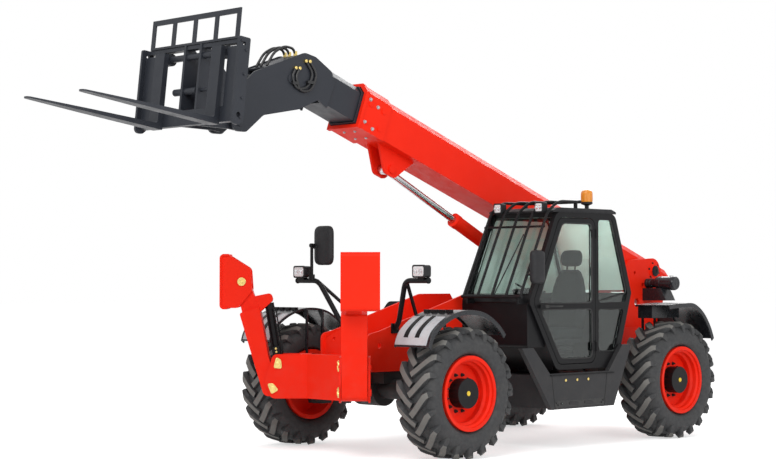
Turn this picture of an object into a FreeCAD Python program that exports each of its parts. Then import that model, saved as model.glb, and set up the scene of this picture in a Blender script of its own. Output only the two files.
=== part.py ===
"""A fixed-cab telehandler with a telescopic boom, pallet forks and two front stabilisers.

Lengths are millimetres. X points forward, Y to the left and Z up. Places along X are
measured from the middle of the wheelbase, and every sub-part is then shifted back by
origin_shift, so that the origin lies under the middle of the whole machine.
"""
import FreeCAD
import Part
import math
import os
import Sketcher

# Driving dimensions: name and value.
SIZES = (
    # general
    ("seat_gap", 0.3),
    ("running_gap", 6.0),
    ("origin_shift", 1120.0),
    # wheels and axles
    ("wheelbase", 3100.0),
    ("track", 2060.0),
    ("tyre_radius", 580.0),
    ("tyre_width", 404.0),
    ("tyre_sides", 30.0),
    ("tyre_lugs", 20.0),
    ("tyre_crown", 546.0),
    ("lug_width", 46.0),
    ("tyre_shoulder_drop", 50.0),
    ("bead_radius", 306.0),
    ("bead_half_width", 150.0),
    ("rim_width", 372.0),
    ("rim_flange", 26.0),
    ("rim_wall", 12.0),
    ("disc_offset", 40.0),
    ("disc_thickness", 16.0),
    ("hub_radius", 128.0),
    ("hub_reach", 158.0),
    ("spindle_radius", 112.0),
    ("kingpin_offset", 230.0),
    ("kingpin_radius", 26.0),
    ("knuckle_radius", 74.0),
    ("knuckle_half_height", 146.0),
    ("yoke_thickness", 26.0),
    ("yoke_radius", 62.0),
    ("axle_radius", 92.0),
    ("differential_radius", 178.0),
    ("fender_radius", 712.0),
    ("fender_thickness", 8.0),
    ("fender_width", 420.0),
    ("fender_bend", 330.0),
    ("fender_pad", 10.0),
    # chassis
    ("chassis_half_width", 310.0),
    ("chassis_plate", 24.0),
    ("chassis_bottom", 745.0),
    ("nose_front", 1930.0),
    ("nose_height", 1080.0),
    ("nose_crest", 70.0),
    ("ramp_front", 1560.0),
    ("ramp_front_height", 1175.0),
    ("ramp_rear", 640.0),
    ("ramp_rear_height", 1440.0),
    ("rail_height", 1080.0),
    ("chassis_rear", -2440.0),
    ("counterweight_rear", -2700.0),
    ("counterweight_half_width", 620.0),
    ("counterweight_bottom", 640.0),
    ("counterweight_top", 1240.0),
    ("hitch_reach", 120.0),
    ("hitch_bore_radius", 20.0),
    ("hitch_height", 110.0),
    # boom tower
    ("tower_inside", 206.0),
    ("tower_plate", 30.0),
    ("pivot_x", -2400.0),
    ("pivot_z", 1670.0),
    ("pivot_pin_radius", 45.0),
    ("tower_front_top_x", -1930.0),
    ("tower_front_foot_x", -1830.0),
    ("tower_rear_x", -2550.0),
    # boom, u along it from the pivot and v up from its axis
    ("boom_angle", 20.0),
    ("boom_half_width", 182.0),
    ("boom_bottom", -260.0),
    ("boom_side_top", 60.0),
    ("boom_top", 130.0),
    ("boom_top_half_width", 112.0),
    ("boom_wall", 10.0),
    ("boom_tail", -330.0),
    ("boom_front", 4530.0),
    ("collar_length", 350.0),
    ("collar_proud", 14.0),
    ("section_wall", 8.0),
    ("section_step", 6.0),
    ("pad_length", 160.0),
    ("middle_rear", 150.0),
    ("middle_proud", 24.0),
    ("inner_rear", 420.0),
    ("inner_proud", 430.0),
    # lift cylinder
    ("lift_pin_u", 3890.0),
    ("lift_pin_v", -425.0),
    ("lift_base_x", -2180.0),
    ("lift_base_z", 870.0),
    ("lift_barrel_length", 2950.0),
    ("lift_barrel_radius", 66.0),
    ("lift_bore_radius", 50.0),
    ("lift_rod_radius", 35.0),
    ("lift_eye_radius", 48.0),
    ("lift_pin_radius", 28.0),
    ("lift_ear_thickness", 24.0),
    ("lift_eye_half_width", 52.0),
    # boom head and carriage, at rest
    ("tilt_pin_reach", 1049.0),
    ("tilt_pin_rise", -456.0),
    ("tilt_pin_radius", 32.0),
    ("head_plate", 20.0),
    ("head_nose_radius", 76.0),
    ("fork_angle", 6.5),
    ("tilt_eye_x", 200.0),
    ("tilt_eye_z", 340.0),
    ("tilt_base_reach", 459.0),
    ("tilt_base_rise", -36.0),
    ("tilt_barrel_length", 560.0),
    ("tilt_barrel_radius", 48.0),
    ("tilt_bore_radius", 38.0),
    ("tilt_rod_radius", 25.0),
    ("tilt_eye_radius", 38.0),
    ("lug_half_gap", 92.0),
    ("lug_plate", 26.0),
    ("carriage_half_width", 660.0),
    ("carriage_end_plate", 25.0),
    ("carriage_bottom", -110.0),
    ("carriage_top", 600.0),
    ("fork_face_x", 485.0),
    ("fork_thickness", 50.0),
    ("fork_width", 125.0),
    ("fork_length", 1290.0),
    ("fork_spacing", 760.0),
    ("fork_tip_thickness", 12.0),
    ("fork_tip_width", 80.0),
    ("fork_bottom_z", -110.0),
    ("fork_shank_top", 545.0),
    ("fork_shaft_radius", 28.0),
    ("fork_shaft_x", 395.0),
    ("fork_shaft_z", 505.0),
    ("backrest_half_width", 590.0),
    ("backrest_top", 860.0),
    ("backrest_bar", 45.0),
    ("backrest_thickness", 14.0),
    ("backrest_bars", 5.0),
    # cab
    ("cab_outer_y", 1150.0),
    ("cab_inner_y", 311.0),
    ("cab_wall", 45.0),
    ("cab_bend", 90.0),
    ("cab_sill_z", 740.0),
    ("cab_foot_x", 310.0),
    ("cab_nose_x", 690.0),
    ("cab_nose_z", 1370.0),
    ("cab_brow_x", 300.0),
    ("cab_eave_z", 2205.0),
    ("cab_roof_rear_x", -570.0),
    ("cab_back_x", -820.0),
    ("cab_back_z", 1450.0),
    ("cab_heel_x", -590.0),
    ("roof_thickness", 44.0),
    ("door_hinge_x", -270.0),
    ("door_rail_z", 1300.0),
    ("door_rail_height", 60.0),
    ("quarter_low_sill", 150.0),
    ("door_post", 48.0),
    ("window_corner", 42.0),
    ("glass_thickness", 8.0),
    ("guard_tube_radius", 11.0),
    ("guard_offset", 95.0),
    ("guard_tubes", 5.0),
    # seat and console
    ("seat_width", 480.0),
    ("seat_x", -130.0),
    ("seat_z", 1130.0),
    ("steering_wheel_sides", 20.0),
    # side box below the cab
    ("box_outer_y", 1200.0),
    ("box_bottom", 380.0),
    ("box_top", 690.0),
    ("box_front_x", 440.0),
    ("box_rear_x", -410.0),
    ("cradle_top", 955.0),
    ("cradle_front_x", 850.0),
    ("cradle_rear_x", -750.0),
    ("cradle_width", 160.0),
    # engine on the right side
    ("hood_half_length", 570.0),
    ("hood_middle_x", -200.0),
    ("hood_outer_y", 1160.0),
    ("hood_bottom", 600.0),
    ("hood_top", 1360.0),
    ("hood_wall", 25.0),
    ("engine_length", 820.0),
    ("engine_width", 520.0),
    ("engine_height", 620.0),
    # stabilisers, s outward along each leg's own plane
    ("stab_bend_x", 2089.0),
    ("stab_bend_y", 323.0),
    ("stab_frame_bottom", 500.0),
    ("stab_frame_top", 900.0),
    ("stab_housing_length", 360.0),
    ("stab_cross_front", 91.0),
    ("stab_plate", 18.0),
    ("leg_half_thickness", 112.0),
    ("leg_pivot_s", 300.0),
    ("leg_pivot_z", 591.0),
    ("leg_pin_radius", 30.0),
    ("leg_lean", 16.6),
    ("leg_length", 1009.0),
    ("leg_outer_w", 100.0),
    ("leg_inner_low_w", -42.0),
    ("leg_inner_high_w", -88.0),
    ("leg_box_top", 740.0),
    ("stab_base_s", 254.0),
    ("stab_base_z", 810.0),
    ("stab_eye_l", 800.0),
    ("stab_eye_w", -185.0),
    ("stab_barrel_length", 560.0),
    ("stab_barrel_radius", 38.0),
    ("stab_bore_radius", 30.0),
    ("stab_rod_radius", 21.0),
    ("stab_eye_radius", 30.0),
    ("pad_face", 200.0),
    ("pad_half_width", 168.0),
    ("pad_half_height", 252.0),
    ("pad_offset", 58.0),
    ("pad_plate", 18.0),
    # mirrors, lamps, beacon, air cleaner
    ("lamp_x", 1735.0),
    ("lamp_y", 790.0),
    ("lamp_z", 1650.0),
    ("lamp_width", 150.0),
    ("lamp_height", 110.0),
    ("lamp_depth", 80.0),
    ("roof_lamp_width", 96.0),
    ("hoop_radius", 19.0),
    ("beacon_radius", 55.0),
    ("beacon_height", 130.0),
    ("beacon_x", -500.0),
    ("beacon_y", 860.0),
    ("mirror_width", 236.0),
    ("mirror_height", 370.0),
    ("mirror_depth", 60.0),
    ("mirror_x", 1640.0),
    ("mirror_y", -556.0),
    ("mirror_z", 1898.0),
    ("mirror_stand_off", 30.0),
    ("cleaner_radius", 72.0),
    ("cleaner_length", 230.0),
    ("cleaner_neck_length", 150.0),
)

doc = FreeCAD.newDocument("Telehandler")
sheet = doc.addObject("Spreadsheet::Sheet", "Sizes")
finished = []


class Size:
    """A value that also carries its formula over the cells of the sheet."""

    def __init__(self, value, text=None):
        self.value = float(value)
        self.text = text or repr(float(value))

    def __add__(self, other):
        other = as_size(other)
        return Size(self.value + other.value, "(%s + %s)" % (self.text, other.text))

    def __sub__(self, other):
        other = as_size(other)
        return Size(self.value - other.value, "(%s - %s)" % (self.text, other.text))

    def __mul__(self, factor):
        factor = as_size(factor)
        return Size(self.value * factor.value, "(%s * %s)" % (self.text, factor.text))

    def __truediv__(self, factor):
        factor = as_size(factor)
        return Size(self.value / factor.value, "(%s / %s)" % (self.text, factor.text))

    def __neg__(self):
        return Size(-self.value, "(0 - %s)" % self.text)

    def __radd__(self, other):
        return as_size(other) + self

    def __rsub__(self, other):
        return as_size(other) - self

    def __rmul__(self, factor):
        return self * factor


def as_size(number):
    """Give a plain number the same form as a named size."""
    return number if isinstance(number, Size) else Size(number)


def fill_sheet():
    """Write each driving dimension into the sheet and return the named sizes."""
    named = {}
    for row, (name, value) in enumerate(SIZES, start=1):
        cell = "B%d" % row
        sheet.set("A%d" % row, name)
        sheet.set(cell, repr(value))
        sheet.setAlias(cell, name)
        named[name] = Size(value, "Sizes.%s" % name)
    doc.recompute()
    return named


D = fill_sheet()

# Planes that outlines are drawn on: turn of the sketch and direction of its thickness.
PLANES = {
    "XY": (FreeCAD.Rotation(), FreeCAD.Vector(0, 0, 1)),
    "XZ": (FreeCAD.Rotation(FreeCAD.Vector(1, 0, 0), 90), FreeCAD.Vector(0, 1, 0)),
    "YZ": (FreeCAD.Rotation(FreeCAD.Vector(1, 1, 1), 120), FreeCAD.Vector(1, 0, 0)),
}
AXES = {
    "X": FreeCAD.Rotation(FreeCAD.Vector(0, 1, 0), 90),
    "Y": FreeCAD.Rotation(FreeCAD.Vector(1, 0, 0), -90),
    "Z": FreeCAD.Rotation(),
}


def bind(feature, member, size):
    """Tie a feature's property to a formula over the sheet."""
    feature.setExpression(member, as_size(size).text)


def move_to(feature, x, y, z, turn=None):
    """Set a feature's turn, and its place as formulas."""
    values = [as_size(number) for number in (x, y, z)]
    base = FreeCAD.Vector(*[number.value for number in values])
    feature.Placement = FreeCAD.Placement(base, turn or FreeCAD.Rotation())
    for letter, number in zip("xyz", values):
        bind(feature, "Placement.Base." + letter, number)
    return feature


def box(name, x, y, z):
    """A block between two places on each axis."""
    block = doc.addObject("Part::Box", name)
    for member, (low, high) in (("Length", x), ("Width", y), ("Height", z)):
        setattr(block, member, (as_size(high) - low).value)
        bind(block, member, as_size(high) - low)
    return move_to(block, x[0], y[0], z[0])


def rod(name, axis, centre, radius, span):
    """A round bar along an axis, centred on two places across it."""
    bar = doc.addObject("Part::Cylinder", name)
    bar.Radius = as_size(radius).value
    bar.Height = (as_size(span[1]) - span[0]).value
    bind(bar, "Radius", radius)
    bind(bar, "Height", as_size(span[1]) - span[0])
    place = list(centre)
    place.insert("XYZ".index(axis), span[0])
    return move_to(bar, place[0], place[1], place[2], AXES[axis])


def pin_to_origin(sketch, curve, end, x, y):
    """Hold a sketch point at a formula's distance from the origin."""
    for kind, number in (("DistanceX", as_size(x)), ("DistanceY", as_size(y))):
        index = sketch.addConstraint(Sketcher.Constraint(kind, -1, 1, curve, end, number.value))
        sketch.setExpression("Constraints[%d]" % index, number.text)


def corner_cut(before, corner, after, radius):
    """The two tangent points and the centre of a rounded corner."""
    back = (before - corner).normalize()
    ahead = (after - corner).normalize()
    half = back.getAngle(ahead) / 2
    reach = radius / math.tan(half)
    bisector = (back + ahead).normalize()
    return corner + back * reach, corner + ahead * reach, corner + bisector * (radius / math.sin(half))


def draw_outline(sketch, points):
    """Draw a closed outline of (x, y) or (x, y, corner radius) and tie it to the sheet."""
    places = [FreeCAD.Vector(as_size(p[0]).value, as_size(p[1]).value, 0) for p in points]
    count = len(points)
    starts, ends = list(places), list(places)
    centres = {}
    for index, point in enumerate(points):
        if len(point) == 3:
            cut = corner_cut(places[index - 1], places[index], places[(index + 1) % count],
                             as_size(point[2]).value)
            ends[index], starts[index], centres[index] = cut
    lines = []
    for index in range(count):
        after = (index + 1) % count
        lines.append(sketch.addGeometry(Part.LineSegment(starts[index], ends[after]), False))
    for index, point in enumerate(points):
        arriving, leaving = lines[index - 1], lines[index]
        if index not in centres:
            sketch.addConstraint(Sketcher.Constraint("Coincident", arriving, 2, leaving, 1))
            pin_to_origin(sketch, leaving, 1, point[0], point[1])
            continue
        round_corner(sketch, (arriving, leaving), point, (ends[index], starts[index], centres[index]))


def round_corner(sketch, sides, point, cut):
    """Join two lines by a tangent arc, with their meeting point held by formulas."""
    first, last, centre = cut
    radius = as_size(point[2])
    turn_left = (first - centre).cross(last - centre).z > 0
    low, high = (first, last) if turn_left else (last, first)
    angles = [math.atan2(end.y - centre.y, end.x - centre.x) for end in (low, high)]
    circle = Part.Circle(centre, FreeCAD.Vector(0, 0, 1), radius.value)
    arc = sketch.addGeometry(Part.ArcOfCircle(circle, angles[0], angles[1]), False)
    near, far = (1, 2) if turn_left else (2, 1)
    corner = sketch.addGeometry(
        Part.Point(FreeCAD.Vector(as_size(point[0]).value, as_size(point[1]).value, 0)), True)
    sketch.addConstraint(Sketcher.Constraint("Tangent", sides[0], 2, arc, near))
    sketch.addConstraint(Sketcher.Constraint("Tangent", arc, far, sides[1], 1))
    sketch.addConstraint(Sketcher.Constraint("PointOnObject", corner, 1, sides[0]))
    sketch.addConstraint(Sketcher.Constraint("PointOnObject", corner, 1, sides[1]))
    pin_to_origin(sketch, corner, 1, point[0], point[1])
    index = sketch.addConstraint(Sketcher.Constraint("Radius", arc, radius.value))
    sketch.setExpression("Constraints[%d]" % index, radius.text)


def draw_hole(sketch, x, y, radius):
    """Draw a round hole tied to the sheet."""
    centre = FreeCAD.Vector(as_size(x).value, as_size(y).value, 0)
    circle = Part.Circle(centre, FreeCAD.Vector(0, 0, 1), as_size(radius).value)
    curve = sketch.addGeometry(circle, False)
    pin_to_origin(sketch, curve, 3, x, y)
    index = sketch.addConstraint(Sketcher.Constraint("Radius", curve, as_size(radius).value))
    sketch.setExpression("Constraints[%d]" % index, as_size(radius).text)


def drawing(name, plane, outlines, holes=(), offset=0.0):
    """A sketch of closed outlines and round holes on one of the three planes."""
    sketch = doc.addObject("Sketcher::SketchObject", name + "_outline")
    turn, direction = PLANES[plane]
    place = [0.0, 0.0, 0.0]
    place["XYZ".index({"XY": "Z", "XZ": "Y", "YZ": "X"}[plane])] = offset
    move_to(sketch, place[0], place[1], place[2], turn)
    for outline in outlines:
        draw_outline(sketch, outline)
    for x, y, radius in holes:
        draw_hole(sketch, x, y, radius)
    return sketch, direction


def plate(name, plane, outlines, span, holes=()):
    """An outline with any windows and round holes, thick from span[0] to span[1]."""
    sketch, direction = drawing(name, plane, outlines, holes, span[0])
    solid = doc.addObject("Part::Extrusion", name)
    solid.Base = sketch
    solid.DirMode = "Custom"
    solid.Dir = direction
    solid.Solid = True
    solid.LengthFwd = (as_size(span[1]) - span[0]).value
    bind(solid, "LengthFwd", as_size(span[1]) - span[0])
    return solid


def turned(name, outline):
    """A solid turned about the Y axis from an outline of (radius, y)."""
    sketch, _ = drawing(name, "XY", [outline])
    solid = doc.addObject("Part::Revolution", name)
    solid.Source = sketch
    solid.Axis = FreeCAD.Vector(0, 1, 0)
    solid.Angle = 360.0
    solid.Solid = True
    return solid


def faceted_ring(name, outline, sides):
    """A ring of flat faces: a closed outline of (radius, y) stepped round the Y axis."""
    points = [(as_size(radius).value, as_size(y).value) for radius, y in outline]
    rings = []
    for index in range(sides):
        angle = 2 * math.pi * (index + 0.5) / sides
        rings.append([FreeCAD.Vector(radius * math.sin(angle), y, radius * math.cos(angle))
                      for radius, y in points])
    faces = []
    for index in range(sides):
        here, ahead = rings[index], rings[(index + 1) % sides]
        for corner in range(len(points)):
            after = (corner + 1) % len(points)
            loop = [here[corner], here[after], ahead[after], ahead[corner], here[corner]]
            faces.append(Part.Face(Part.makePolygon(loop)))
    solid = Part.makeSolid(Part.makeShell(faces))
    if solid.Volume < 0:
        solid.reverse()
    ring = doc.addObject("Part::Feature", name)
    ring.Shape = solid
    return ring


def mirror(name, source):
    """The same piece on the other side of the machine."""
    copy = doc.addObject("Part::Mirroring", name)
    copy.Source = source
    copy.Normal = FreeCAD.Vector(0, 1, 0)
    return copy


def moved(name, source, x, y, z, turn=None):
    """A copy of a piece at another place."""
    holder = doc.addObject("Part::Compound", name)
    holder.Links = [source]
    return move_to(holder, x, y, z, turn)


def fuse(name, pieces):
    """One solid, or one group of solids, from several pieces."""
    if len(pieces) == 1:
        return group(name, pieces)
    joined = doc.addObject("Part::MultiFuse", name)
    joined.Shapes = pieces
    return joined


def group(name, pieces):
    """Several solids that don't touch, kept in one sub-part."""
    together = doc.addObject("Part::Compound", name)
    together.Links = pieces
    return together


def cut(name, base, tool):
    """A piece with another one taken out of it."""
    rest = doc.addObject("Part::Cut", name)
    rest.Base = base
    rest.Tool = tool
    return rest


def path_of(points, bend):
    """A wire of straight runs joined by arcs of one radius."""
    places = [FreeCAD.Vector(*[as_size(number).value for number in point]) for point in points]
    edges = []
    start = places[0]
    for index in range(1, len(places) - 1):
        first, last, centre = corner_cut(places[index - 1], places[index], places[index + 1], bend)
        middle = centre + (places[index] - centre).normalize() * bend
        edges.append(Part.LineSegment(start, first).toShape())
        edges.append(Part.Arc(first, middle, last).toShape())
        start = last
    edges.append(Part.LineSegment(start, places[-1]).toShape())
    return Part.Wire(edges)


def pipe(name, points, radius, bend):
    """A round bar bent along a path: straight runs and true bends of one radius."""
    size = as_size(radius).value
    runs = []
    for edge in path_of(points, bend).Edges:
        start = edge.valueAt(edge.FirstParameter)
        ahead = edge.tangentAt(edge.FirstParameter)
        if edge.Curve.TypeId == "Part::GeomCircle":
            face = Part.Face(Part.Wire(Part.makeCircle(size, start, ahead)))
            sweep = math.degrees(edge.LastParameter - edge.FirstParameter)
            runs.append(face.revolve(edge.Curve.Center, edge.Curve.Axis, sweep))
        else:
            runs.append(Part.makeCylinder(size, edge.Length, start, ahead))
    bar = doc.addObject("Part::Feature", name)
    bar.Shape = runs[0].fuse(runs[1:]).removeSplitter() if len(runs) > 1 else runs[0]
    return bar


def finish(piece, label, x=0.0, y=0.0, z=0.0, turn=None):
    """Name a sub-part and put it in its place in the machine."""
    piece.Label = label
    move_to(piece, as_size(x) - D["origin_shift"], y, z, turn)
    finished.append(piece)
    return piece


def boom_turn():
    """The turn from the level to the boom's own direction."""
    return FreeCAD.Rotation(FreeCAD.Vector(0, 1, 0), -D["boom_angle"].value)


def boom_place(u, v):
    """A place in the boom's own frame, given along X and Z of the machine."""
    angle = math.radians(D["boom_angle"].value)
    x = D["pivot_x"].value + u.value * math.cos(angle) - v.value * math.sin(angle)
    z = D["pivot_z"].value + u.value * math.sin(angle) + v.value * math.cos(angle)
    return x, z


def boom_end():
    """The front end of the inner boom section at rest, along X and Z of the machine."""
    return boom_place(D["boom_front"] + D["inner_proud"], Size(0.0))


def tilt_pin():
    """The place of the pin that the fork carriage tilts on."""
    x, z = boom_end()
    return x + D["tilt_pin_reach"], z + D["tilt_pin_rise"]


def tilt_base():
    """The place of the tilt cylinder's foot pin."""
    x, z = boom_end()
    return x + D["tilt_base_reach"], z + D["tilt_base_rise"]


def finish_on_boom(piece, label):
    """Finish a sub-part that is drawn in the boom's own frame."""
    return finish(piece, label, D["pivot_x"], 0.0, D["pivot_z"], boom_turn())


def finish_on_carriage(piece, label):
    """Finish a sub-part that is drawn from the tilt pin with level forks."""
    turn = FreeCAD.Rotation(FreeCAD.Vector(0, 1, 0), -D["fork_angle"].value)
    x, z = tilt_pin()
    return finish(piece, label, x, 0.0, z, turn)


def finish_on_leg(piece, label, side):
    """Finish a sub-part that is drawn in the upright plane of a stabiliser leg."""
    turn = FreeCAD.Rotation(FreeCAD.Vector(0, 0, 1), 45.0 * side)
    holder = group(piece.Name + "_on_leg", [piece])
    return finish(holder, label, D["stab_bend_x"], D["stab_bend_y"] * side, 0.0, turn)


# wheels, hubs, knuckles and axles

WHEELS = (
    # name, along the wheelbase, side
    ("front_left", 0.5, 1),
    ("front_right", 0.5, -1),
    ("rear_left", -0.5, 1),
    ("rear_right", -0.5, -1),
)


def make_tyre(name, along, side, shape):
    """Put a tyre on its wheel; the lugs of both sides point forward at the top."""
    tyre = moved("tyre_" + name, shape, 0.0, 0.0, 0.0) if side > 0 else mirror("tyre_" + name, shape)
    finish(tyre, "tyre_" + name, D["wheelbase"] * along, D["track"] / 2 * side, D["tyre_radius"])


def make_rim(name, along, side):
    """A deep dished rim with two steps and the round drum of the hub standing out of it."""
    seat = D["bead_radius"] - D["seat_gap"]
    half = D["rim_width"] / 2
    wall = D["rim_wall"]
    flange = seat + D["rim_flange"]
    inside = seat - wall
    disc = D["disc_offset"]
    disc_back = disc - D["disc_thickness"]
    shoulder = D["bead_half_width"] + D["seat_gap"]
    outline = (
        (flange, half),
        (flange, shoulder),
        (seat, shoulder),
        (seat, -shoulder),
        (flange, -shoulder),
        (flange, -half),
        (inside, -half),
        (inside, disc_back),
        (0.0, disc_back),
        (0.0, disc),
        (inside - 34, disc),
        (inside - 34, half - 92),
        (inside - 12, half - 74),
        (inside - 12, half - 34),
        (inside + 6, half - 22),
        (inside + 6, half),
    )
    shell = turned("rim_shell_" + name, outline)
    drum_outline = (
        (0.0, disc),
        (D["hub_radius"], disc),
        (D["hub_radius"], D["hub_reach"] - 14),
        (D["hub_radius"] - 14, D["hub_reach"]),
        (0.0, D["hub_reach"]),
    )
    drum = turned("hub_drum_" + name, drum_outline)
    wheel = fuse("rim_" + name, [shell, drum])
    turn = FreeCAD.Rotation(FreeCAD.Vector(0, 0, 1), 0 if side > 0 else 180)
    finish(wheel, "rim_" + name, D["wheelbase"] * along, D["track"] / 2 * side, D["tyre_radius"], turn)


FENDERS = {
    "front": ((-42, -28.0), (-16, -2.0), (8, 12.0), (24, -14.0), (56, 36.0)),
    "rear": ((-37, -30.0), (-11, 66.0), (17, 50.0)),
}


def fender_sheet(name, along, side):
    """A bent sheet over the tyre with a turned-down outer lip and, in front, raised tread pads."""
    front = along > 0
    bends = FENDERS["front" if front else "rear"]
    thick = D["fender_thickness"]
    near = D["kingpin_offset"] - D["fender_width"] / 2
    far = near + D["fender_width"]
    pieces = [fender_band("fender_sheet_" + name, bends, side, as_size(0.0), thick, (near, far)),
              fender_band("fender_lip_" + name, bends, side, as_size(-24.0), thick, (far - 10, far))]
    if front:
        for index, (start, end) in enumerate(((0.1, 0.33), (0.4, 0.63), (0.7, 0.93))):
            span = (near + D["fender_width"] * start, near + D["fender_width"] * end)
            pieces.append(fender_band("fender_pad_%s_%d" % (name, index), bends[-3:], side, thick - 1,
                                      thick + D["fender_pad"], span))
    return fuse("fender_" + name, pieces)


def fender_band(name, bends, side, low, high, span):
    """A band bent round the wheel between two lifts above the fender's circle."""
    lines = []
    for lift_off in (high, low):
        line = []
        for index, (degrees, lift) in enumerate(bends):
            angle = math.radians(degrees * side)
            reach = D["fender_radius"] + lift + lift_off
            point = (reach * math.sin(angle), reach * math.cos(angle))
            bend = D["fender_bend"] + lift_off
            line.append(point if index in (0, len(bends) - 1) else point + (bend,))
        lines.append(line)
    return plate(name, "XZ", [lines[0] + lines[1][::-1]], span)


def tyre_carcass():
    """The tyre without lugs: beads that seat on the rim, bulging side walls and a round crown."""
    half = D["tyre_width"] / 2
    bead = D["bead_radius"]
    crown = D["tyre_crown"]
    drop = D["tyre_shoulder_drop"]
    seat_half = D["bead_half_width"]
    sides = int(D["tyre_sides"].value)
    seat = (bead + D["seat_gap"]) / math.cos(math.pi / sides)
    outline = [
        (seat, -seat_half),
        (bead + 36, -seat_half),
        (bead + drop * 2, -half + 6),
        (crown - drop * 1.8, -half),
        (crown, half * -0.6),
        (crown, half * 0.6),
        (crown - drop * 1.8, half),
        (bead + drop * 2, half - 6),
        (bead + 36, seat_half),
        (seat, seat_half),
    ]
    return faceted_ring("tyre_carcass", outline, sides)


def tyre_lug():
    """One slanted bar of the tread, at the top of the tyre and on its left half."""
    half = D["tyre_width"] / 2
    reach = D["tyre_radius"]
    thick = D["lug_width"] * 0.7
    plan = [(94, -24), (94 - thick, -40), (-94, half - 22), (-80, half + 3), (thick - 90, half + 3)]
    top = reach - 8
    side_view = [(-46, D["tyre_crown"] - 24), (-46, top), (half - 34, top), (half + 2, top - 60),
                 (half - 30, top - 96)]
    bar = plate("lug_plan", "XY", [plan], (D["tyre_crown"] - 90, reach + 20))
    profile = plate("lug_side_view", "YZ", [side_view], (-130, 130))
    lug = doc.addObject("Part::Common", "lug")
    lug.Base = bar
    lug.Tool = profile
    return lug


def tyre_shape():
    """The tyre with its two rows of lugs, the right row half a step behind the left one."""
    left_lug = tyre_lug()
    right_lug = mirror("lug_right", left_lug)
    count = int(D["tyre_lugs"].value)
    step = 360.0 / count
    lowest = 180.0 - math.degrees(math.atan(94.0 / (D["tyre_radius"].value - 8)))
    pieces = [tyre_carcass()]
    for index in range(count):
        for row, lug, offset in (("left", left_lug, 0.0), ("right", right_lug, 0.5)):
            turn = FreeCAD.Rotation(FreeCAD.Vector(0, 1, 0), lowest + step * (index + offset))
            pieces.append(moved("lug_%s_%d" % (row, index), lug, 0.0, 0.0, 0.0, turn))
    return fuse("tyre_shape", pieces)


def make_knuckle(name, along, side):
    """A steering knuckle: upright drum on its kingpin, spindle, and the fender it carries."""
    out = D["kingpin_offset"]
    height = D["knuckle_half_height"]
    drum = rod("knuckle_drum_" + name, "Z", (0.0, 0.0), D["knuckle_radius"], (-height, height))
    pin = rod("kingpin_" + name, "Z", (0.0, 0.0), D["kingpin_radius"] - 0.05,
              (-height - D["yoke_thickness"] - 8, height + D["yoke_thickness"] + 8))
    spindle_end = out + D["disc_offset"] - D["disc_thickness"] - D["seat_gap"]
    spindle = rod("spindle_" + name, "Y", (0.0, 0.0), D["spindle_radius"], (0.0, spindle_end))
    arm_x = D["yoke_radius"] + 30
    top = D["fender_radius"] + 100
    arm_outline = [(-5, -40), (20, -40), (20, top - 190, 60), (70, top), (-5, top)]
    bracket = plate("fender_bracket_" + name, "YZ", [arm_outline], (arm_x, arm_x + 16))
    twin = plate("fender_bracket_front_" + name, "YZ", [arm_outline], (-arm_x - 16, -arm_x))
    bends = FENDERS["front" if along > 0 else "rear"]
    above = fender_band("bracket_trim_" + name, bends, side, D["fender_thickness"] / 2, as_size(200.0), (-50, 120))
    arms = cut("fender_arms_" + name, fuse("fender_pair_" + name, [bracket, twin]), above)
    tie = rod("bracket_tie_" + name, "X", (0.0, 0.0), 36.0, (-arm_x - 16, arm_x + 16))
    guard = fender_sheet(name, along, side)
    knuckle = fuse("knuckle_" + name, [drum, pin, spindle, arms, tie, guard])
    turn = FreeCAD.Rotation(FreeCAD.Vector(0, 0, 1), 0 if side > 0 else 180)
    place_y = (D["track"] / 2 - out) * side
    finish(knuckle, "knuckle_" + name, D["wheelbase"] * along, place_y, D["tyre_radius"], turn)


def make_axle(label, along):
    """A drive axle: beam, differential, yokes round the kingpins and the saddle above."""
    pin_y = D["track"] / 2 - D["kingpin_offset"]
    beam_end = pin_y - D["knuckle_radius"] - D["running_gap"] * 3
    yoke_low = D["knuckle_half_height"] + D["seat_gap"]
    yoke_high = yoke_low + D["yoke_thickness"]
    pieces = [
        rod(label + "_beam", "Y", (0.0, 0.0), D["axle_radius"], (-beam_end, beam_end)),
        rod(label + "_differential", "X", (0.0, 0.0), D["differential_radius"] * 0.72, (-190, 190)),
        rod(label + "_bell", "Y", (0.0, 0.0), D["differential_radius"] * 0.9, (-150, 150)),
        box(label + "_saddle", (-150, 150), (-chassis_inside(), chassis_inside()),
            (D["axle_radius"] * 0.6, D["chassis_bottom"] - D["tyre_radius"])),
    ]
    radius = D["yoke_radius"]
    for side in (-1, 1):
        for level, name in ((1, "top"), (-1, "bottom")):
            low, high = (yoke_low, yoke_high) if level > 0 else (-yoke_high, -yoke_low)
            mark = "%s_yoke_%s_%d" % (label, name, side)
            inner = (beam_end - 70) * side
            outline = [(-radius, inner), (radius, inner),
                       (radius, (pin_y + radius) * side, radius * 0.9),
                       (-radius, (pin_y + radius) * side, radius * 0.9)]
            pieces.append(plate(mark, "XY", [outline], (low, high),
                                [(0.0, pin_y * side, D["kingpin_radius"])]))
        web = (beam_end - 70) * side
        web_end = beam_end * side
        low_y, high_y = (web, web_end) if side > 0 else (web_end, web)
        pieces.append(box("%s_web_%d" % (label, side), (-radius, radius), (low_y, high_y),
                          (-yoke_high, yoke_high)))
    finish(fuse(label, pieces), label, D["wheelbase"] * along, 0.0, D["tyre_radius"])


def chassis_inside():
    """Half the clear width between the chassis plates."""
    return D["chassis_half_width"] - D["chassis_plate"]


# chassis, tower and rear end

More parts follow.
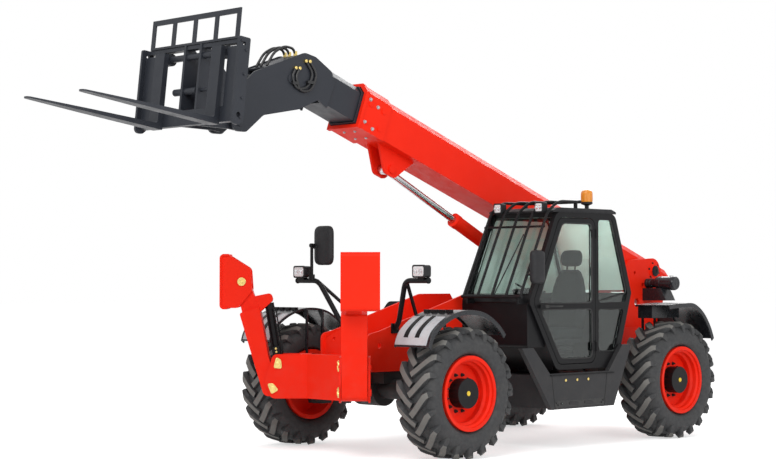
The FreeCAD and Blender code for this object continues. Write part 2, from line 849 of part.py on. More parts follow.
def make_chassis():
    """Two side plates that ramp up to the cab, with floor, nose and cross plates."""
    outline = [
        (D["chassis_rear"], D["chassis_bottom"]),
        (D["nose_front"] - 60, D["chassis_bottom"], 40),
        (D["nose_front"], D["chassis_bottom"] + 90, 40),
        (D["nose_front"], D["nose_height"], 60),
        (D["nose_front"] - 150, D["nose_height"] + 30, 60),
        (D["ramp_front"], D["ramp_front_height"], 80),
        (D["ramp_rear"], D["ramp_rear_height"], 120),
        (D["ramp_rear"] - 420, D["ramp_rear_height"]),
        (D["ramp_rear"] - 700, D["rail_height"], 80),
        (D["chassis_rear"], D["rail_height"]),
    ]
    inside = chassis_inside()
    holes = [(D["nose_front"] - 150, D["nose_height"] - 100, 24), (D["ramp_front"] - 130, D["nose_height"], 30)]
    left = plate("chassis_left_plate", "XZ", [outline], (inside, D["chassis_half_width"]), holes)
    right = mirror("chassis_right_plate", left)
    floor = box("chassis_floor", (D["chassis_rear"], D["nose_front"] - 100), (-inside, inside),
                (D["chassis_bottom"], D["chassis_bottom"] + D["chassis_plate"]))
    nose_low = D["chassis_bottom"] + 100
    nose_outline = [(-inside, nose_low), (inside, nose_low), (inside, D["nose_height"] - 50, 30),
                    (D["nose_crest"], D["nose_height"] + 48, 60), (-D["nose_crest"], D["nose_height"] + 48, 60),
                    (-inside, D["nose_height"] - 50, 30)]
    level = D["nose_height"] - 44
    nose_holes = [(y, level, 17) for y in (-160, -50, 50, 160)]
    nose = plate("chassis_nose", "YZ", [nose_outline], (D["nose_front"] - D["chassis_plate"] - 30,
                                                        D["nose_front"] - 30), nose_holes)
    neck = box("stabiliser_neck", (D["nose_front"] - 60, D["stab_bend_x"] - 60 - D["seat_gap"]), (-200, 200),
               (D["chassis_bottom"] + 100, D["stab_frame_top"] - 6))
    finish(fuse("chassis", [left, right, floor, nose, neck]), "chassis")


def make_tower():
    """Two upright plates that hold the boom's pivot pin and the lift cylinder's foot pin."""
    inside = D["tower_inside"]
    outside = inside + D["tower_plate"]
    foot = D["chassis_bottom"] + D["chassis_plate"] + D["seat_gap"]
    outline = [
        (D["tower_front_foot_x"], foot),
        (D["tower_front_foot_x"], foot + 300),
        (D["tower_front_top_x"], D["pivot_z"] + 110, 80),
        (D["pivot_x"] - 60, D["pivot_z"] + 140, 130),
        (D["tower_rear_x"], D["pivot_z"] - 60, 90),
        (D["tower_rear_x"] + 40, D["pivot_z"] - 340),
        (D["chassis_rear"], foot + 260),
        (D["chassis_rear"], foot),
    ]
    holes = [(D["pivot_x"] + 190, D["pivot_z"] - 150, 26), (D["pivot_x"] + 330, D["pivot_z"] - 20, 18),
             (D["pivot_x"] + 300, D["pivot_z"] - 330, 40)]
    left = plate("tower_left", "XZ", [outline], (inside, outside), holes)
    right = mirror("tower_right", left)
    pivot = rod("pivot_pin", "Y", (D["pivot_x"], D["pivot_z"]), D["pivot_pin_radius"] - 0.05,
                (-outside - 14, outside + 14))
    boss = rod("pivot_boss_plate", "Y", (D["pivot_x"], D["pivot_z"]), D["pivot_pin_radius"] + 38,
               (outside - 1, outside + 8))
    cap = rod("pivot_cap", "Y", (D["pivot_x"], D["pivot_z"]), D["pivot_pin_radius"] + 14,
              (outside, outside + 22))
    foot_pin = rod("lift_foot_pin", "Y", (D["lift_base_x"], D["lift_base_z"]), D["lift_pin_radius"] - 0.05,
                   (-outside - 10, outside + 10))
    # The sill blocks close the gap between the tower and the chassis plates.
    sill = box("tower_sill", (D["chassis_rear"] + 20, D["tower_front_foot_x"] - 20),
               (outside, chassis_inside() - D["seat_gap"]), (foot, foot + 60))
    pieces = [left, right, pivot, boss, cap, foot_pin, sill, mirror("tower_sill_right", sill),
              mirror("pivot_boss_right", boss), mirror("pivot_cap_right", cap)]
    finish(fuse("boom_tower", pieces), "boom_tower")


def make_counterweight():
    """The cast block across the rear end."""
    low, high = D["counterweight_bottom"], D["counterweight_top"]
    front = D["chassis_rear"] - D["seat_gap"]
    outline = [
        (front, low, 30),
        (front, high, 30),
        (D["counterweight_rear"] + 60, high, 40),
        (D["counterweight_rear"], high - 160, 60),
        (D["counterweight_rear"], low + 100, 60),
        (D["counterweight_rear"] + 60, low, 40),
    ]
    half = D["counterweight_half_width"]
    left_wing = plate("weight_body", "XZ", [outline], (-half, half))
    slot = box("weight_slot", (D["tower_rear_x"] - 40, front + 1), (-D["tower_inside"] - D["tower_plate"] - 40,
               D["tower_inside"] + D["tower_plate"] + 40), (D["chassis_bottom"] + 250, high + 1))
    finish(cut("counterweight", left_wing, slot), "counterweight")


def make_hitch():
    """A towing jaw under the counterweight with its upright bore."""
    rear = D["counterweight_rear"]
    reach = D["hitch_reach"]
    height = D["hitch_height"]
    low = D["counterweight_bottom"] + 140
    jaw = plate("hitch_jaw", "XZ", [[
        (rear - D["seat_gap"], low), (rear - D["seat_gap"], low + height),
        (rear - reach, low + height), (rear - reach, low + height - 25),
        (rear - 30, low + height - 25), (rear - 30, low + 25),
        (rear - reach, low + 25), (rear - reach, low)]], (-60, 60))
    bore = rod("hitch_bore", "Z", (rear - reach + 45, 0.0), D["hitch_bore_radius"], (low - 1, low + height + 1))
    finish(cut("tow_hitch", jaw, bore), "tow_hitch")


# boom sections, head and carriage

def section_outline(inset):
    """The boom's section in (y, v), drawn in from the outer skin by an amount."""
    half = D["boom_half_width"] - inset
    top_half = D["boom_top_half_width"] - inset * 0.6
    return [
        (-half, D["boom_bottom"] + inset),
        (half, D["boom_bottom"] + inset),
        (half, D["boom_side_top"] - inset * 0.6),
        (top_half, D["boom_top"] - inset),
        (-top_half, D["boom_top"] - inset),
        (-half, D["boom_side_top"] - inset * 0.6),
    ]


def tube(name, outside, inside, span):
    """A hollow boom section between two insets from the outer skin."""
    return plate(name, "YZ", [section_outline(outside), section_outline(inside)], span)


def make_outer_boom():
    """The red outer section with its collar, tail plate, pivot boss and lift ears."""
    skin = tube("outer_skin", as_size(0.0), D["boom_wall"], (D["boom_tail"], D["boom_front"]))
    collar = tube("outer_collar", -D["collar_proud"], as_size(0.0),
                  (D["boom_front"] - D["collar_length"], D["boom_front"]))
    lip = tube("collar_lip", -D["collar_proud"] - 10, -D["collar_proud"] + 1,
               (D["boom_front"] - 36, D["boom_front"]))
    tail = plate("outer_tail", "YZ", [section_outline(D["boom_wall"])], (D["boom_tail"], D["boom_tail"] + 15))
    boss_half = D["tower_inside"] - D["running_gap"]
    boss = rod("pivot_boss", "Y", (0.0, 0.0), D["pivot_pin_radius"] + 35, (-boss_half, boss_half))
    ear_inside = D["lift_eye_half_width"] + D["running_gap"]
    ear_outline = [
        (D["lift_pin_u"] - 250, D["boom_bottom"]),
        (D["lift_pin_u"] - 70, D["lift_pin_v"] - 66, 62),
        (D["lift_pin_u"] + 70, D["lift_pin_v"] - 66, 62),
        (D["lift_pin_u"] + 230, D["boom_bottom"]),
    ]
    ear = plate("lift_ear", "XZ", [ear_outline], (ear_inside, ear_inside + D["lift_ear_thickness"]))
    pin_head = rod("lift_pin_head", "Y", (D["lift_pin_u"], D["lift_pin_v"]), D["lift_pin_radius"] + 12,
                   (ear_inside + D["lift_ear_thickness"], ear_inside + D["lift_ear_thickness"] + 14))
    studs = []
    face = D["boom_half_width"] + D["collar_proud"]
    for index, (back, level) in enumerate(((90, -20), (90, -190), (265, -20), (265, -190))):
        studs.append(rod("collar_stud_%d" % index, "Y", (D["boom_front"] - back, level), 24, (face - 1, face + 9)))
        studs.append(mirror("collar_stud_right_%d" % index, studs[-1]))
    solid = fuse("outer_solid", [skin, collar, lip, tail, boss, ear, mirror("lift_ear_right", ear),
                                 pin_head, mirror("lift_pin_head_right", pin_head)] + studs)
    bore = rod("pivot_bore", "Y", (0.0, 0.0), D["pivot_pin_radius"], (-boss_half - 1, boss_half + 1))
    finish_on_boom(cut("boom_outer", solid, bore), "boom_outer")


def slide_pads(name, outside, span):
    """Wear pads round the rear of a section that reach out to the section it slides in."""
    gap_end = outside - D["section_step"] + D["seat_gap"]
    return tube(name, gap_end, outside, span)


def middle_inset():
    """How far the middle section's skin lies inside the outer one's."""
    return D["boom_wall"] + D["section_step"]


def inner_inset():
    """How far the inner section's skin lies inside the outer one's."""
    return middle_inset() + D["section_wall"] + D["section_step"]


def make_middle_boom():
    """The middle section, which fills the outer one at rest."""
    outside = middle_inset()
    rear = D["middle_rear"]
    skin = tube("middle_skin", outside, outside + D["section_wall"],
                (rear, D["boom_front"] + D["middle_proud"]))
    pads = slide_pads("middle_pads", outside, (rear, rear + D["pad_length"]))
    finish_on_boom(fuse("boom_middle", [skin, pads]), "boom_middle")


def make_inner_boom():
    """The dark inner section that carries the head."""
    outside = inner_inset()
    rear = D["inner_rear"]
    skin = tube("inner_skin", outside, outside + D["section_wall"], (rear, D["boom_front"] + D["inner_proud"]))
    pads = slide_pads("inner_pads", outside, (rear, rear + D["pad_length"]))
    finish_on_boom(fuse("boom_inner", [skin, pads]), "boom_inner")


def make_head():
    """The boom head: two side plates, top and bottom plates and the tilt cylinder's pin."""
    inside = D["boom_half_width"] - inner_inset() + D["seat_gap"]
    outside = inside + D["head_plate"]
    end_x, end_z = boom_end()
    pin_x, pin_z = tilt_pin()
    nose = D["head_nose_radius"]
    outline = [
        (end_x - 61, end_z - 36),
        (end_x - 21, end_z + 64, 40),
        (end_x + 169, end_z + 179, 120),
        (end_x + 299, end_z + 206, 80),
        (pin_x - 170, pin_z + 450, 80),
        (pin_x - 35, pin_z + 326, 50),
        (pin_x - 40, pin_z + 200, 60),
        (pin_x + nose, pin_z + 40),
        (pin_x + nose, pin_z - nose, nose * 0.9),
        (pin_x - nose, pin_z - nose, nose * 0.6),
        (pin_x - 270, pin_z + 80, 80),
        (end_x + 379, end_z - 301, 80),
        (end_x + 139, end_z - 201),
        (end_x + 39, end_z - 266),
    ]
    side_plate = plate("head_side", "XZ", [outline], (inside, outside),
                       [(pin_x, pin_z, D["tilt_pin_radius"])])
    pieces = [side_plate, mirror("head_side_right", side_plate)]
    pieces.append(plate("head_top", "XZ", [[
        (end_x + 179, end_z + 170), (end_x + 299, end_z + 194), (end_x + 680, end_z + 55),
        (end_x + 675, end_z + 40), (end_x + 299, end_z + 176), (end_x + 186, end_z + 154)]], (-inside, inside)))
    pieces.append(plate("head_bottom", "XZ", [[
        (end_x + 179, end_z - 214), (end_x + 379, end_z - 297), (pin_x - 280, pin_z + 86),
        (pin_x - 276, pin_z + 102), (end_x + 385, end_z - 281), (end_x + 187, end_z - 198)]], (-inside, inside)))
    base_x, base_z = tilt_base()
    pieces.append(rod("tilt_base_pin", "Y", (base_x, base_z), D["tilt_rod_radius"] - 0.05,
                      (-outside - 12, outside + 12)))
    pieces.append(rod("tilt_base_boss", "Y", (base_x, base_z), D["tilt_rod_radius"] + 18,
                      (outside - 1, outside + 8)))
    pieces.append(mirror("tilt_base_boss_right", pieces[-1]))
    finish(fuse("boom_head", pieces), "boom_head")


def make_carriage():
    """The fork carriage: end plates, bars, fork shaft and the lugs on the tilt pin."""
    half = D["carriage_half_width"]
    end_inside = half - D["carriage_end_plate"]
    back = D["fork_face_x"] - D["fork_thickness"] - D["seat_gap"]
    low, high = D["carriage_bottom"], D["carriage_top"]
    end_outline = [
        (back - 76, low + 30, 40),
        (back - 30, low - 12, 40),
        (back + 46, low - 12, 40),
        (back + 46, high + 6, 16),
        (back - 76, high + 6, 16),
    ]
    end_holes = [(back - 15, low + 70, 22), (back - 15, high - 50, 16)]
    end = plate("carriage_end", "XZ", [end_outline], (end_inside, half), end_holes)
    lug_in, lug_out = D["lug_half_gap"], D["lug_half_gap"] + D["lug_plate"]
    lug_outline = [
        (-62, -62, 56),
        (62, -62, 30),
        (back - 60, low + 20),
        (back, low + 20),
        (back, high),
        (back - 76, high),
        (D["tilt_eye_x"] - 60, D["tilt_eye_z"] + 62, 40),
        (-62, 62, 50),
    ]
    lug = plate("carriage_lug", "XZ", [lug_outline], (lug_in, lug_out))
    eye_cap = rod("tilt_eye_cap", "Y", (D["tilt_eye_x"], D["tilt_eye_z"]), D["tilt_rod_radius"] + 14,
                  (lug_out, lug_out + 12))
    head_inside = D["boom_half_width"] - inner_inset() + D["seat_gap"]
    head_outside = head_inside + D["head_plate"]
    pin = rod("tilt_pin", "Y", (0.0, 0.0), D["tilt_pin_radius"] - 0.05,
              (-head_outside - 12, head_outside + 12))
    lower = box("carriage_lower_bar", (back - 50, back), (-end_inside, end_inside), (low + 20, low + 150))
    upper = box("carriage_upper_bar", (back - 66, back - 10), (-end_inside, end_inside), (high - 36, high))
    shaft = rod("fork_shaft", "Y", (D["fork_shaft_x"], D["fork_shaft_z"]), D["fork_shaft_radius"],
                (-end_inside, end_inside))
    shift_z = D["tilt_eye_z"] - 130
    shift = rod("shift_cylinder", "Y", (back - 40, shift_z), 30, (-240, 60))
    shift_rod = rod("shift_rod", "Y", (back - 40, shift_z), 16, (50, 240))
    panel = box("carriage_panel", (back - 14, back), (D["fork_spacing"] / 2 + 90, end_inside), (low + 150, high - 60))
    pieces = [end, mirror("carriage_end_right", end), lug, mirror("carriage_lug_right", lug), eye_cap,
              mirror("tilt_eye_cap_right", eye_cap), pin, lower, upper, shaft, shift, shift_rod, panel,
              mirror("carriage_panel_right", panel)]
    finish_on_carriage(fuse("carriage", pieces), "carriage")


def make_forks():
    """Two pallet forks: shank, tapered blade and the eye that hangs on the shaft."""
    face = D["fork_face_x"]
    back = face - D["fork_thickness"]
    low = D["fork_bottom_z"]
    half = D["fork_width"] / 2
    tip = face + D["fork_length"]
    side_view = [
        (back, low),
        (face, low, 30),
        (tip, low + D["fork_thickness"] - D["fork_tip_thickness"] - 6),
        (tip, low + D["fork_thickness"] - 6),
        (face + 6, low + D["fork_thickness"], 20),
        (face, D["fork_shank_top"]),
        (back, D["fork_shank_top"]),
    ]
    side_view[1] = (face - 20, low)
    bar = plate("fork_bar", "XZ", [side_view], (-half, half))
    tip_half = D["fork_tip_width"] / 2
    plan = [
        (back - 130, -half),
        (face + D["fork_length"] * 0.55, -half),
        (tip, -tip_half, 34),
        (tip, tip_half, 34),
        (face + D["fork_length"] * 0.55, half),
        (back - 130, half),
    ]
    shadow = plate("fork_plan", "XY", [plan], (low - 1, D["fork_shank_top"] + 60))
    blade = doc.addObject("Part::Common", "fork_blade")
    blade.Base = bar
    blade.Tool = shadow
    shaft_x, shaft_z = D["fork_shaft_x"], D["fork_shaft_z"]
    eye = rod("fork_eye", "Y", (shaft_x, shaft_z), D["fork_shaft_radius"] + 26, (-half + 8, half - 8))
    web = box("fork_eye_web", (shaft_x, back), (-half + 8, half - 8), (shaft_z - 50, shaft_z + 35))
    hung = fuse("fork_hung", [blade, eye, web])
    bore = rod("fork_bore", "Y", (shaft_x, shaft_z), D["fork_shaft_radius"] + D["seat_gap"], (-half, half))
    fork = cut("fork", hung, bore)
    spacing = D["fork_spacing"] / 2
    pair = group("forks", [moved("fork_left", fork, 0.0, spacing, 0.0),
                           moved("fork_right", fork, 0.0, -spacing, 0.0)])
    finish_on_carriage(pair, "forks")


def make_backrest():
    """The load backrest: upright flat bars between two rails."""
    half = D["backrest_half_width"]
    back = D["fork_face_x"] - D["fork_thickness"] - D["seat_gap"]
    low = D["carriage_top"] + D["seat_gap"]
    bar = D["backrest_bar"]
    thick = D["backrest_thickness"]
    pieces = [
        box("backrest_top_rail", (back - thick, back), (-half, half), (D["backrest_top"] - bar, D["backrest_top"])),
        box("backrest_low_rail", (back - thick - 30, back), (-half, half), (low, low + 20)),
    ]
    count = int(D["backrest_bars"].value)
    step = (half * 2 - bar) / (count - 1)
    for index in range(count):
        edge = -half + step * index
        pieces.append(box("backrest_bar_%d" % index, (back - thick, back), (edge, edge + bar),
                          (low, D["backrest_top"])))
    finish_on_carriage(fuse("backrest", pieces), "backrest")


# hydraulic cylinders, drawn along X from the foot pin

def make_barrel(label, length, sizes, foot_half_width):
    """A cylinder barrel with its foot eye, bored for the piston and the rod."""
    radius, bore, rod_radius, pin_radius = sizes
    shell = rod(label + "_shell", "X", (0.0, 0.0), radius, (pin_radius * 1.2, length))
    gland = rod(label + "_gland", "X", (0.0, 0.0), radius + 5, (length - 60, length))
    foot = rod(label + "_foot", "Y", (0.0, 0.0), pin_radius * 2, (-foot_half_width, foot_half_width))
    solid = fuse(label + "_solid", [shell, gland, foot])
    chamber = rod(label + "_chamber", "X", (0.0, 0.0), bore, (pin_radius * 2 + 10, length - 50))
    passage = rod(label + "_passage", "X", (0.0, 0.0), rod_radius + D["seat_gap"], (length - 51, length + 1))
    pin_bore = rod(label + "_pin_bore", "Y", (0.0, 0.0), pin_radius, (-foot_half_width - 1, foot_half_width + 1))
    hollow = fuse(label + "_hollow", [chamber, passage, pin_bore])
    return cut(label, solid, hollow)


def make_rod(label, start, length, sizes, eye_half_width):
    """A piston rod with its piston and the eye at its outer end."""
    bore, rod_radius, eye_radius = sizes
    bar = rod(label + "_bar", "X", (0.0, 0.0), rod_radius, (start, length))
    piston = rod(label + "_piston", "X", (0.0, 0.0), bore - D["seat_gap"], (start, start + 40))
    eye = rod(label + "_eye", "Y", (length, 0.0), eye_radius, (-eye_half_width, eye_half_width))
    return fuse(label, [bar, piston, eye])


def make_lift_cylinder():
    """The single lift cylinder under the boom."""
    eye_x, eye_z = boom_place(D["lift_pin_u"], D["lift_pin_v"])
    run_x, run_z = eye_x - D["lift_base_x"].value, eye_z - D["lift_base_z"].value
    reach = math.hypot(run_x, run_z)
    turn = FreeCAD.Rotation(FreeCAD.Vector(0, 1, 0), -math.degrees(math.atan2(run_z, run_x)))
    barrel = make_barrel("lift_barrel", D["lift_barrel_length"],
                         (D["lift_barrel_radius"], D["lift_bore_radius"], D["lift_rod_radius"],
                          D["lift_pin_radius"]), D["tower_inside"] - D["running_gap"])
    finish(barrel, "lift_barrel", D["lift_base_x"], 0.0, D["lift_base_z"], turn)
    piston_rod = make_rod("lift_rod", D["lift_barrel_length"] * 0.6, reach,
                          (D["lift_bore_radius"], D["lift_rod_radius"], D["lift_eye_radius"]),
                          D["lift_eye_half_width"])
    finish(piston_rod, "lift_rod", D["lift_base_x"], 0.0, D["lift_base_z"], turn)


def make_tilt_cylinder():
    """The tilt cylinder between the head's plates."""
    angle = math.radians(D["fork_angle"].value)
    pin_x, pin_z = tilt_pin()
    base_x, base_z = tilt_base()
    eye_x = (pin_x.value + D["tilt_eye_x"].value * math.cos(angle)
             - D["tilt_eye_z"].value * math.sin(angle))
    eye_z = (pin_z.value + D["tilt_eye_x"].value * math.sin(angle)
             + D["tilt_eye_z"].value * math.cos(angle))
    run_x, run_z = eye_x - base_x.value, eye_z - base_z.value
    reach = math.hypot(run_x, run_z)
    turn = FreeCAD.Rotation(FreeCAD.Vector(0, 1, 0), -math.degrees(math.atan2(run_z, run_x)))
    barrel = make_barrel("tilt_barrel", D["tilt_barrel_length"],
                         (D["tilt_barrel_radius"], D["tilt_bore_radius"], D["tilt_rod_radius"],
                          D["tilt_rod_radius"]), D["lug_half_gap"] - D["running_gap"])
    finish(barrel, "tilt_barrel", base_x, 0.0, base_z, turn)
    piston_rod = make_rod("tilt_rod", D["tilt_barrel_length"] * 0.23, reach,
                          (D["tilt_bore_radius"], D["tilt_rod_radius"], D["tilt_eye_radius"]),
                          D["lug_half_gap"] - D["running_gap"])
    finish(piston_rod, "tilt_rod", base_x, 0.0, base_z, turn)


# stabilisers

def leg_place(w, l):
    """A place on a stabiliser leg, w outward across it and l along it from its pivot."""
    lean = math.radians(D["leg_lean"].value)
    s = D["leg_pivot_s"].value + l.value * math.sin(lean) + w.value * math.cos(lean)
    z = D["leg_pivot_z"].value + l.value * math.cos(lean) - w.value * math.sin(lean)
    return s, z


def make_stabiliser_frame():
    """The box across the nose with a two-plate housing at each side for the legs."""
    low, high = D["stab_frame_bottom"], D["stab_frame_top"]
    inside = D["leg_half_thickness"] + D["running_gap"]
    outside = inside + D["stab_plate"]
    length = D["stab_housing_length"]
    pieces = []
    for side in (-1, 1):
        turn = FreeCAD.Rotation(FreeCAD.Vector(0, 0, 1), 45.0 * side)
        holes = [(D["leg_pivot_s"], D["leg_pivot_z"], D["leg_pin_radius"])]
        outline = [(-40, low), (length - 40, low, 60), (length + 14, low + 150, 60), (length - 60, high, 50),
                   (-40, high)]
        front = plate("housing_front_%d" % side, "XZ", [outline], (-outside, -inside), holes)
        rear = plate("housing_rear_%d" % side, "XZ", [outline], (inside, outside), holes)
        base_pin = rod("stab_base_pin_%d" % side, "Y", (D["stab_base_s"], D["stab_base_z"]),
                       D["stab_rod_radius"] - 0.05, (-outside - 8, outside + 8))
        keeper = plate("pin_keeper_%d" % side, "XZ", [[
            (D["stab_base_s"] - 36, D["stab_base_z"] - 30, 22), (D["stab_base_s"] + 36, D["stab_base_z"] - 22, 22),
            (D["stab_base_s"] + 30, D["stab_base_z"] + 34, 22), (D["stab_base_s"] - 34, D["stab_base_z"] + 40, 22)]],
            (-outside - 8, -outside))
        back = box("housing_back_%d" % side, (-40, 60), (-inside, inside), (low, high))
        for piece in (front, rear, base_pin, keeper, back):
            pieces.append(moved("%s_placed" % piece.Name, piece, D["stab_bend_x"],
                                D["stab_bend_y"] * side, 0.0, turn))
    front_face = D["stab_bend_x"] + D["stab_cross_front"]
    pieces.append(box("stab_cross_box", (D["stab_bend_x"] - 60, front_face),
                      (-D["stab_bend_y"] + 74, D["stab_bend_y"] - 74), (low, high)))
    finish(fuse("stabiliser_frame", pieces), "stabiliser_frame")


def make_leg(side, word):
    """A box leg that widens upwards, with its pivot pin and the tongue for the foot."""
    half = D["leg_half_thickness"]
    box_outline = [(-55, -60, 40), (D["leg_outer_w"], -60, 60), (D["leg_outer_w"], D["leg_box_top"], 20),
                   (D["leg_inner_high_w"], D["leg_box_top"], 20), (D["leg_inner_low_w"], 300),
                   (D["leg_inner_low_w"], 60)]
    body = plate("leg_body_" + word, "XZ", [box_outline], (-half, half))
    tongue = plate("leg_tongue_" + word, "XZ", [[
        (-80, D["leg_box_top"] - 30), (80, D["leg_box_top"] - 30), (58, D["leg_length"] + 58, 52),
        (-58, D["leg_length"] + 58, 52)]], (-half * 0.6, half * 0.6),
        [(0.0, D["leg_length"], D["leg_pin_radius"])])
    pin_half = half + D["running_gap"] + D["stab_plate"] + 10
    pin = rod("leg_pin_" + word, "Y", (0.0, 0.0), D["leg_pin_radius"] - 0.05, (-pin_half, pin_half))
    ear_in = D["stab_eye_radius"] + 14
    ear_outline = [(D["leg_inner_high_w"] + 20, D["stab_eye_l"] - 110),
                   (D["leg_inner_high_w"] + 20, D["stab_eye_l"] + 50),
                   (D["stab_eye_w"] - 36, D["stab_eye_l"] + 36, 34),
                   (D["stab_eye_w"] - 36, D["stab_eye_l"] - 36, 34)]
    ear = plate("leg_ear_" + word, "XZ", [ear_outline], (ear_in, ear_in + 16))
    leg = fuse("leg_" + word, [body, tongue, pin, ear, mirror("leg_ear_twin_" + word, ear)])
    lean = FreeCAD.Rotation(FreeCAD.Vector(0, 1, 0), D["leg_lean"].value)
    placed = moved("leg_leaning_" + word, leg, D["leg_pivot_s"], 0.0, D["leg_pivot_z"], lean)
    finish_on_leg(placed, "stabiliser_leg_" + word, side)


def make_pad(side, word):
    """A foot plate with bent lips and two rounded gussets that straddle the leg's tongue."""
    s, z = leg_place(Size(0.0), D["leg_length"])
    gusset_in = D["leg_half_thickness"] * 0.6 + D["running_gap"]
    gusset_out = gusset_in + D["pad_plate"]
    face = D["pad_face"]
    thick = D["pad_plate"]
    tall = D["pad_half_height"]
    gusset_outline = [(face - thick + 1, -tall + 12), (face - thick + 1, tall - 12), (face - 90, tall - 12, 40),
                      (-82, 120, 60), (-96, -80, 70), (30, -tall + 12, 60)]
    gusset = plate("pad_gusset_" + word, "XZ", [gusset_outline], (gusset_in, gusset_out))
    foot_outline = [
        (face, -tall, 40), (face, tall, 40), (face - 86, tall, 8), (face - 86, tall - thick, 8),
        (face - thick, tall - thick, 22), (face - thick, thick - tall, 22), (face - 70, thick - tall, 8),
        (face - 70, -tall, 8)]
    middle = D["pad_offset"] * side
    foot = plate("pad_foot_" + word, "XZ", [foot_outline], (middle - D["pad_half_width"], middle + D["pad_half_width"]))
    pin = rod("pad_pin_" + word, "Y", (0.0, 0.0), D["leg_pin_radius"] - 0.05, (-gusset_out - 6, gusset_out + 6))
    head = rod("pad_pin_head_" + word, "Y", (0.0, 0.0), D["leg_pin_radius"] + 8, (gusset_out, gusset_out + 12))
    pad = fuse("pad_" + word, [gusset, mirror("pad_gusset_twin_" + word, gusset), foot, pin, head,
                               mirror("pad_pin_head_twin_" + word, head)])
    placed = moved("pad_placed_" + word, pad, s, 0.0, z)
    finish_on_leg(placed, "stabiliser_pad_" + word, side)


def make_leg_cylinder(side, word):
    """The cylinder that swings a stabiliser leg."""
    eye_s, eye_z = leg_place(D["stab_eye_w"], D["stab_eye_l"])
    run_s, run_z = eye_s - D["stab_base_s"].value, eye_z - D["stab_base_z"].value
    reach = math.hypot(run_s, run_z)
    turn = FreeCAD.Rotation(FreeCAD.Vector(0, 1, 0), -math.degrees(math.atan2(run_z, run_s)))
    barrel = make_barrel("stab_barrel_shape_" + word, D["stab_barrel_length"],
                         (D["stab_barrel_radius"], D["stab_bore_radius"], D["stab_rod_radius"],
                          D["stab_rod_radius"]), as_size(45.0))
    finish_on_leg(moved("stab_barrel_placed_" + word, barrel, D["stab_base_s"], 0.0, D["stab_base_z"], turn),
                  "stabiliser_barrel_" + word, side)
    piston_rod = make_rod("stab_rod_shape_" + word, as_size(62.0), reach,
                          (D["stab_bore_radius"], D["stab_rod_radius"], D["stab_eye_radius"]), as_size(38.0))
    finish_on_leg(moved("stab_rod_placed_" + word, piston_rod, D["stab_base_s"], 0.0, D["stab_base_z"], turn),
                  "stabiliser_rod_" + word, side)


# cab

def cab_points(inset):
    """The cab's side outline in (x, z), drawn in by an amount."""
    slope = inset * 1.15
    return [
        (D["cab_heel_x"] + slope, D["cab_sill_z"] + inset),
        (D["cab_foot_x"] - slope * 0.6, D["cab_sill_z"] + inset),
        (D["cab_nose_x"] - slope, D["cab_nose_z"]),
        (D["cab_brow_x"] - slope * 0.7, D["cab_eave_z"] - inset),
        (D["cab_roof_rear_x"] + slope * 0.7, D["cab_eave_z"] - inset),
        (D["cab_back_x"] + slope, D["cab_back_z"]),
    ]


def rounded(points, radius):
    """The same outline with every corner rounded."""
    return [(point[0], point[1], radius) for point in points]


def cab_ring(inset):
    """The cab's side outline with the bends of its tube frame."""
    points = cab_points(inset)
    bends = (D["cab_bend"], D["cab_bend"], D["cab_bend"] / 2, D["cab_bend"], D["cab_bend"], D["cab_bend"] / 2)
    return [(point[0], point[1], bend) for point, bend in zip(points, bends)]


def door_outline(inset):
    """The door's outline in (x, z): the front of the cab's outline up to the hinge line."""
    points = cab_points(D["door_post"] + inset)
    hinge = D["door_hinge_x"] + inset
    return [
        (hinge, points[0][1]),
        points[1],
        points[2],
        points[3],
        (hinge, points[3][1]),
    ]


def door_window(upper, extra):
    """One of the door's two panes, drawn in from the door's edge."""
    frame = D["door_post"] + extra
    points = door_outline(D["running_gap"] + frame)
    rail_low = D["door_rail_z"] - extra
    rail_high = D["door_rail_z"] + D["door_rail_height"] + extra
    if upper:
        return rounded([(points[0][0], rail_high), (points[2][0] - 10, rail_high), points[3], points[4]],
                       D["window_corner"] - extra)
    lean = (points[2][0] - points[1][0]) / (points[2][1] - points[1][1])
    rail_x = points[1][0] + lean * (rail_low - points[1][1])
    return rounded([points[0], points[1], (rail_x, rail_low), (points[0][0], rail_low)],
                   D["window_corner"] - extra)


def quarter_window(extra):
    """The upper pane behind the door, drawn in by an amount."""
    post = D["cab_wall"] + extra
    points = cab_points(post + 10)
    front = D["door_hinge_x"] - post
    low = D["door_rail_z"] + D["door_rail_height"] + extra
    lean = (points[5][0] - points[0][0]) / (points[5][1] - points[0][1])
    corner = points[5] if low.value > points[5][1].value else (points[0][0] + lean * (low - points[0][1]), low)
    outline = [(front, low), (front, points[4][1]), points[4]]
    if corner is not points[5]:
        outline.append(points[5])
    return rounded(outline + [corner], D["window_corner"] * 0.8 - extra)


def quarter_low_window(extra):
    """The lower pane behind the door, drawn in by an amount."""
    post = D["cab_wall"] + extra
    points = cab_points(post + 10)
    front = D["door_hinge_x"] - post
    low = D["cab_sill_z"] + D["quarter_low_sill"] + extra
    high = D["door_rail_z"] - extra
    lean = (points[5][0] - points[0][0]) / (points[5][1] - points[0][1])
    ends = [(points[0][0] + lean * (level - points[0][1]), level) for level in (low, high)]
    return rounded([(front, low), (front, high), ends[1], ends[0]], D["window_corner"] * 0.8 - extra)


def side_window(extra):
    """The pane in the cab's boom side, drawn in by an amount."""
    points = cab_points(D["cab_wall"] + 15 + extra)
    low = D["cab_nose_z"] + 40 + extra
    return rounded([(points[5][0] + 10, low + 40), (points[2][0] - 30, low), points[3], points[4]],
                   D["window_corner"] - extra)


